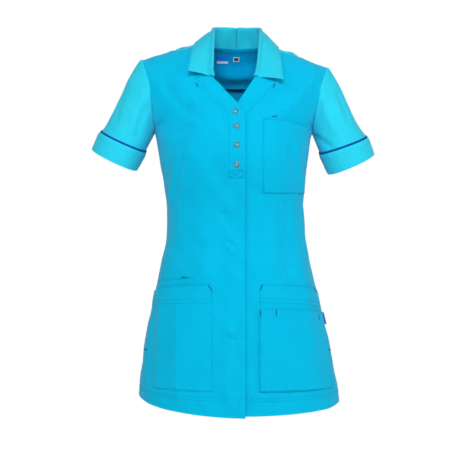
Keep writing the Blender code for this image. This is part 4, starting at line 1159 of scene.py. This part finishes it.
# cloth, edge, distances from it, thread, lowest and highest place
EDGE_LINES = [(name, "first_row", (0.0265, 0.0315), "light" if name == "back_center" else "hem", ALL)
              for name in PANELS]
EDGE_LINES += [
    ("hip_pocket_right", "first_col", EDGE, "blue", ALL),
    ("hip_pocket_right", "first_row", EDGE, "blue", ALL),
    ("hip_pocket_right", "last_row", (0.0260, 0.0335), "blue", ALL),
    ("hip_pocket_right_inner", "first_col", EDGE, "blue", (-0.499, 9.0)),
    ("hip_pocket_right_inner", "last_row", EDGE, "blue", ALL),
    ("hip_pocket_left", "first_col", EDGE, "blue", (-0.545, 9.0)),
    ("hip_pocket_left", "last_col", EDGE, "blue", (-0.560, 9.0)),
    ("hip_pocket_left", "last_row", (0.0265, 0.0350), "blue", ALL),
    ("hip_pocket_left_front", "first_col", EDGE, "blue", ALL),
    ("hip_pocket_left_front", "last_col", EDGE, "blue", ALL),
    ("hip_pocket_left_front", "first_row", EDGE, "blue", ALL),
    ("chest_pocket", "first_col", EDGE, "blue", ALL),
    ("chest_pocket", "first_row", EDGE, "blue", ALL),
    ("chest_pocket", "last_row", (0.0018,), "blue", ALL),
    ("collar_right", "last_col", (0.0030,), "light", ALL),
    ("collar_left", "last_col", (0.0030,), "light", ALL),
    ("cuff_right", "first_row", (0.0100,), "light", ALL),
    ("cuff_left", "first_row", (0.0100,), "light", ALL),
    ("back_center", "first_col", (0.0020,), "light", (-9.0, -0.01)),
    ("back_center", "last_col", (0.0020,), "light", (-9.0, -0.01)),
    ("yoke_facing", "first_row", (0.0020, 0.0070), "light", ALL)]
BOX = [(-.0169, -.268), (.0112, -.265), (.0113, -.281), (-.0169, -.281)]    # its corners in order
# piece, face, width of thread, places (x, z)
FREE_LINES = [
    ("front_right", F, FINE, [(-.0895, -.067), (-.084, -.0756), (-.051, -.114), (-.019, -.1495)]),
    ("front_left", F, FINE, [(.085, -.076), (.075, -.088), (.046, -.120), (.0195, -.149)]),
    ("front_right", F, FINE, [(-.0169, -.1495), (-.0163, -.205), (-.0159, -.267)])]
FREE_LINES += [("front_right", F, BOLD, [BOX[a], BOX[b]])
               for a, b in ((0, 1), (1, 2), (2, 3), (3, 0), (0, 2), (1, 3))]
FREE_LINES += [
    ("front_right", F, BOLD, [(.0024, -.729), (.0024, -.737)]),
    ("back_center", B, FINE, [(-.118, -.1005), (0.0, -.104), (.118, -.1005)]),
    ("back_center", B, FINE, [(-.118, -.1060), (0.0, -.1095), (.118, -.1060)])]
# piece, start, end
BAR_TACKS = [
    ("front_right", (-.0840, -.0860), (-.0800, -.0950)),
    ("front_left", (.0770, -.0880), (.0730, -.0970)),
    ("chest_pocket", (.0700, -.1570), (.0805, -.1544)),
    ("hip_pocket_right_inner", (-.1146, -.4820), (-.1000, -.4836)),
    ("hip_pocket_right", (-.0590, -.4970), (-.0510, -.5090)),
    ("hip_pocket_left", (.0507, -.4970), (.0460, -.5070)),
    ("hip_pocket_left", (.1570, -.5056), (.1650, -.5150)),
    ("hip_pocket_left_front", (.0468, -.5470), (.0467, -.5590)),
    ("hip_pocket_left_front", (.0784, -.5470), (.0783, -.5590)),
    ("hip_pocket_left_front", (.1670, -.5605), (.1700, -.5720)),
    ("front_right", (-.1925, -.6340), (-.1850, -.6330)),
    ("front_left", (.1885, -.6335), (.1990, -.6360))]
print("lines along edges and free:", len(EDGE_LINES), len(FREE_LINES), "bar tacks:", len(BAR_TACKS))

# %% [markdown]
# ### Lay the lines on the cloth
# Lines along an edge are read from the cloth's own grid.  Free lines and bar tacks are found by rays
# from the front or from behind, so they lie on whatever cloth is outermost there.

# %% Sew the lines
for owner, edge, insets, finish, (low, high) in EDGE_LINES:
    for inset in insets:
        points, out = line_on(cloths[owner], edge, inset)
        kept = (points[:, 2] > low) & (points[:, 2] < high)
        sew(owner, finish, points[kept], out[kept])
for owner, face, wide, places in FREE_LINES:
    points, out = on_cloth(seen_trees[face], face, smooth_line(places, 0.003))
    sew(owner, "light" if face == B else "blue", points, out, wide)
for owner, start, end in BAR_TACKS:
    bar_tack(owner, start, end)
print("lines of stitches:", sum(len(runs) for runs in stitches.values()))

# %% [markdown]
# ### From lines to threads
# Every place found above gets one grain.  The grain's points are multiplied out as arrays, so a
# thousand stitches are one mesh, with a thread coordinate that runs along each stitch.

# %% Make the threads
GRAIN = [(-0.36, 0.8), (0.0, 1.0), (0.36, 0.8)]       # a ring's place along it, its share of the width
SECTION = 5                                           # points round the thread
END = 1 + len(GRAIN) * SECTION                        # number of the point at the far end
PRESSED = 0.36                                        # half height of a stitch for its width
SUNK, LIFTED = 0.0002, 0.0001                         # its ends lie in the cloth, its middle on it
grain_faces = [(0, 1 + (j + 1) % SECTION, 1 + j) for j in range(SECTION)]
grain_faces += [(k + j, k + (j + 1) % SECTION, k + SECTION + (j + 1) % SECTION, k + SECTION + j)
                for k in (1, 1 + SECTION) for j in range(SECTION)]
grain_faces += [(END, END - SECTION + j, END - SECTION + (j + 1) % SECTION) for j in range(SECTION)]
# the thread's own map in metres: round it and along it
around = np.concatenate([[0], np.tile(np.arange(SECTION), len(GRAIN)), [0]]) * 0.0005
along = np.concatenate([[0], np.repeat([0.0004, 0.0012, 0.0020], SECTION), [0.0024]])


def grains(place, ahead, facing, long, wide):
    """The points of one grain of thread at each place."""
    beside = np.cross(facing, ahead)
    points = [place - ahead * long / 2 - facing * SUNK]
    for at, share in GRAIN:
        for a in np.radians(np.arange(SECTION) * 360.0 / SECTION):
            points.append(place + ahead * at * long + beside * (share * wide / 2 * cos(a))
                          + facing * (share * wide * PRESSED * sin(a) + LIFTED))
    return np.stack(points + [place + ahead * long / 2 - facing * SUNK], 1)


sewn = {}
for (owner, finish), runs in stitches.items():
    points = np.concatenate([grains(*run) for run in runs])
    faces = [tuple((END + 1) * i + v for v in face) for i in range(len(points))
             for face in grain_faces]
    uvs = np.tile(np.stack([around, along], 1), (len(points), 1))
    piece = make_mesh(f"{owner}_thread_{finish}", points, faces, THREADS[finish], uvs, sharp=80)
    sewn.setdefault(owner, []).append(piece)
    print(piece.name, len(points), "stitches")

# %% [markdown]
# ## The four press studs
# Each stud is an open ring of nickel-plated brass pressed into rounded section, with the cloth
# showing as a small dome in its middle.  Both are turned from a profile about the stud's axis, which
# stands square on the cloth.

# %% Press studs
def turned(name, seat, out, profile, material, slot, turns):
    """A closed solid turned from a profile of (radius, height) places."""
    right = unit(np.cross(out, (0.0, 0.0, 1.0)))
    top = np.cross(right, out)
    angle = np.linspace(0, 2 * pi, turns, endpoint=False)
    points = np.array([[seat + out * h + (right * cos(a) + top * sin(a)) * r for a in angle]
                       for r, h in profile])
    flat = np.array([[(r * cos(a), r * sin(a)) for a in angle] for r, _ in profile]).reshape(-1, 2)
    piece = make_mesh(name, points, ring_faces(len(profile), turns), material, flat, sharp=50)
    return piece


POLISHING_MARKS = 900.0      # to the metre, about one to a millimetre
MARKS_SPREAD = 0.07          # how much they change the roughness either way


def plated(name, code, dull):
    """Nickel plate on pressed brass: mirror-like metal, softened by fine polishing marks."""
    made = bpy.data.materials.new(name)
    made.use_nodes = True
    tree = made.node_tree
    metal = tree.nodes["Principled BSDF"]
    metal.inputs["Base Color"].default_value = linear(code)
    metal.inputs["Metallic"].default_value = 1.0
    where = add_node(tree, "ShaderNodeTexCoord")
    marks = add_node(tree, "ShaderNodeTexNoise", {"Scale": POLISHING_MARKS, "Detail": 2.0},
                     {"Vector": where.outputs["Object"]})
    spread = add_node(tree, "ShaderNodeMapRange",
                      {"To Min": dull - MARKS_SPREAD, "To Max": dull + MARKS_SPREAD},
                      {"Value": marks.outputs["Fac"]})
    tree.links.new(spread.outputs[0], metal.inputs["Roughness"])
    return made


NICKEL = plated("nickel_plated_brass", "#96A2AA", 0.36)
STUD_MIDDLE = twill("polycotton_twill_in_the_stud", "#74B4CA", sheen=0.2, bump=0.2)
RING = [(0.0042, -0.0004), (0.0041, 0.0008), (0.0044, 0.0016), (0.0050, 0.0021), (0.0055, 0.0020),
        (0.0060, 0.0012), (0.0062, 0.0003), (0.0061, -0.0004)]
DOME = [(0.0001, -0.0004), (0.0001, 0.0014), (0.0014, 0.0013), (0.0024, 0.0008), (0.0031, 0.0000),
        (0.0032, -0.0004)]
STUDS = 4
for k in range(1, STUDS + 1):
    low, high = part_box(f"snap_cap_{k}")
    seats, facing = on_cloth(seen_trees[F], F, [((low[0] + high[0]) / 2, (low[2] + high[2]) / 2)])
    seat, out = seats[0], unit(facing[0])
    ring = turned(f"snap_ring_{k}", seat, out, RING[::-1], NICKEL, "snap_metal", 36)
    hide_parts(f"snap_cap_{k}")
    turned(f"snap_middle_{k}", seat, out, DOME[::-1], STUD_MIDDLE, "body_cloth", 24)
    print("stud", k, seat.round(4))

# %% [markdown]
# ## Labels and tab
# Woven labels are satin ribbons: a close, smooth weave with a soft gloss.  The neck label is blue
# with a pale lower band, the size label dark with a pale edge, and the tab in the side seam is a
# folded loop of the same ribbon.  All are left blank.

# %% Woven ribbon
SATIN_PITCH, SATIN_GLOSS = 0.0005, 0.35


def ribbon(name, ground, band, size, low_band=0.0, border=0.0):
    """Satin ribbon with a woven band along its foot or a woven border, both from its own map."""
    made = twill(name, ground, shade=0.03, sheen=0.03, bump=0.08, pitch=SATIN_PITCH)
    tree = made.node_tree
    cloth = next(n for n in tree.nodes if n.type == "BSDF_PRINCIPLED")
    cloth.inputs["Specular IOR Level"].default_value = SATIN_GLOSS
    where = next(n for n in tree.nodes if n.type == "UVMAP")
    parts = add_node(tree, "ShaderNodeSeparateXYZ", links={"Vector": where.outputs["UV"]})
    mask = add_node(tree, "ShaderNodeMath", {"operation": "LESS_THAN", 1: max(low_band, border)},
                    {0: parts.outputs["Y"]})
    edges = (("GREATER_THAN", size[0] - border, "X"), ("GREATER_THAN", size[1] - border, "Y"),
             ("LESS_THAN", border, "X"))
    for operation, limit, axis in edges if border else ():
        beyond = add_node(tree, "ShaderNodeMath", {"operation": operation, 1: limit},
                          {0: parts.outputs[axis]})
        mask = add_node(tree, "ShaderNodeMath", {"operation": "MAXIMUM"},
                        {0: mask.outputs[0], 1: beyond.outputs[0]})
    plain = cloth.inputs["Base Color"].links[0].from_socket
    colour = add_node(tree, "ShaderNodeMix", {"data_type": "RGBA", 7: linear(band)},
                      {0: mask.outputs[0], 6: plain})
    tree.links.new(colour.outputs[2], cloth.inputs["Base Color"])
    return made


print("ribbon threads", SATIN_PITCH * 1000, "mm apart")

# %% [markdown]
# ### The two labels
# Each lies on the facing: rays find its place, and its lower edge stands off a little more than its
# upper one, which is sewn down.

# %% Labels
LABEL, LABEL_OFF, LABEL_TILT = 0.0005, 0.0010, 0.0008     # thickness, off the facing, more below
facing_tree = tree_of(["yoke_facing"])
for name, ground, band, low_band, border in (("neck_label", "#0A86F4", "#D4E8FC", 0.0056, 0.0),
                                             ("size_label", "#34507E", "#E8F0F4", 0.0, 0.0013)):
    low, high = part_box(name)
    wide = np.linspace(low[0], high[0], 9)
    tall = np.linspace(low[2] + 0.0025, high[2] + 0.0012, 7)
    grid = np.array([on_cloth(facing_tree, F, [(x, z) for x in wide])[0] for z in tall])
    grid[..., 1] -= LABEL_OFF
    cloths[name] = cloth = Cloth(grid, np.zeros_like(grid) + (0, -1, 0), step=0.0012)
    cloth.raise_by(LABEL_TILT * (1 - cloth.rows[:, None] / cloth.rows[-1]))
    finish = ribbon(f"woven_ribbon_{name}", ground, band, cloth.size, low_band, border)
    shell(name + "_cloth", cloth, LABEL, finish, finish, (name,))

# %% [markdown]
# ### The tab in the side seam
# A short length of ribbon is folded in half and caught by both ends in the left side seam.  Its loop
# is one path seen from above, repeated down the seam and slanting a little towards its free end.

# %% Side tab
TAB_REACH, TAB_IN, TAB_SLANT = 0.0062, 0.0012, 0.45     # out of the seam, into it, fall to the tip
TAB = 0.00035                                           # thickness
low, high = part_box("side_tab")
edge = cloths["front_left"].points[:, -1]
front_y, back_y = low[1], high[1]
path = [(0.0, front_y + 0.0001), (TAB_REACH * 0.4, front_y + 0.0002),
        (TAB_REACH * 0.8, front_y + 0.0002), (TAB_REACH - 0.0004, front_y + 0.0003),
        (TAB_REACH, (front_y + back_y) / 2), (TAB_REACH - 0.0004, back_y - 0.0003),
        (TAB_REACH * 0.8, back_y - 0.0002), (TAB_REACH * 0.4, back_y - 0.0002),
        (0.0, back_y - 0.0002)]
grid = np.array([[(np.interp(z, edge[:, 2], edge[:, 0]) - TAB_IN + x, y, z - TAB_SLANT * x)
                  for x, y in path] for z in np.linspace(high[2], low[2], 8)])
cloths["side_tab"] = cloth = Cloth(grid, grid - grid.mean(axis=1, keepdims=True), step=0.0012)
finish = ribbon("woven_ribbon_tab", "#2A47B0", "#5C66C8", cloth.size, low_band=0.004)
shell("side_tab_cloth", cloth, TAB, finish, finish, ("side_tab",))

# %% [markdown]
# ## The floor
# A wearer would stand about 1.4 m below the shoulder points, so the pale floor lies there, below
# what the camera sees.

# %% Floor
FLOOR_HEIGHT, FLOOR_RADIUS = -1.40, 3.3
bpy.ops.mesh.primitive_circle_add(vertices=96, radius=FLOOR_RADIUS, fill_type="NGON",
                                  location=(0, 0, FLOOR_HEIGHT))
floor = bpy.context.object
floor.name = "floor"
paint = bpy.data.materials.new("matt_white_floor_paint")
paint.use_nodes = True
coat = paint.node_tree.nodes["Principled BSDF"]
coat.inputs["Base Color"].default_value = linear("#F2F2F2")
coat.inputs["Roughness"].default_value = 0.9
floor.data.materials.append(paint)
print("floor at height", FLOOR_HEIGHT)
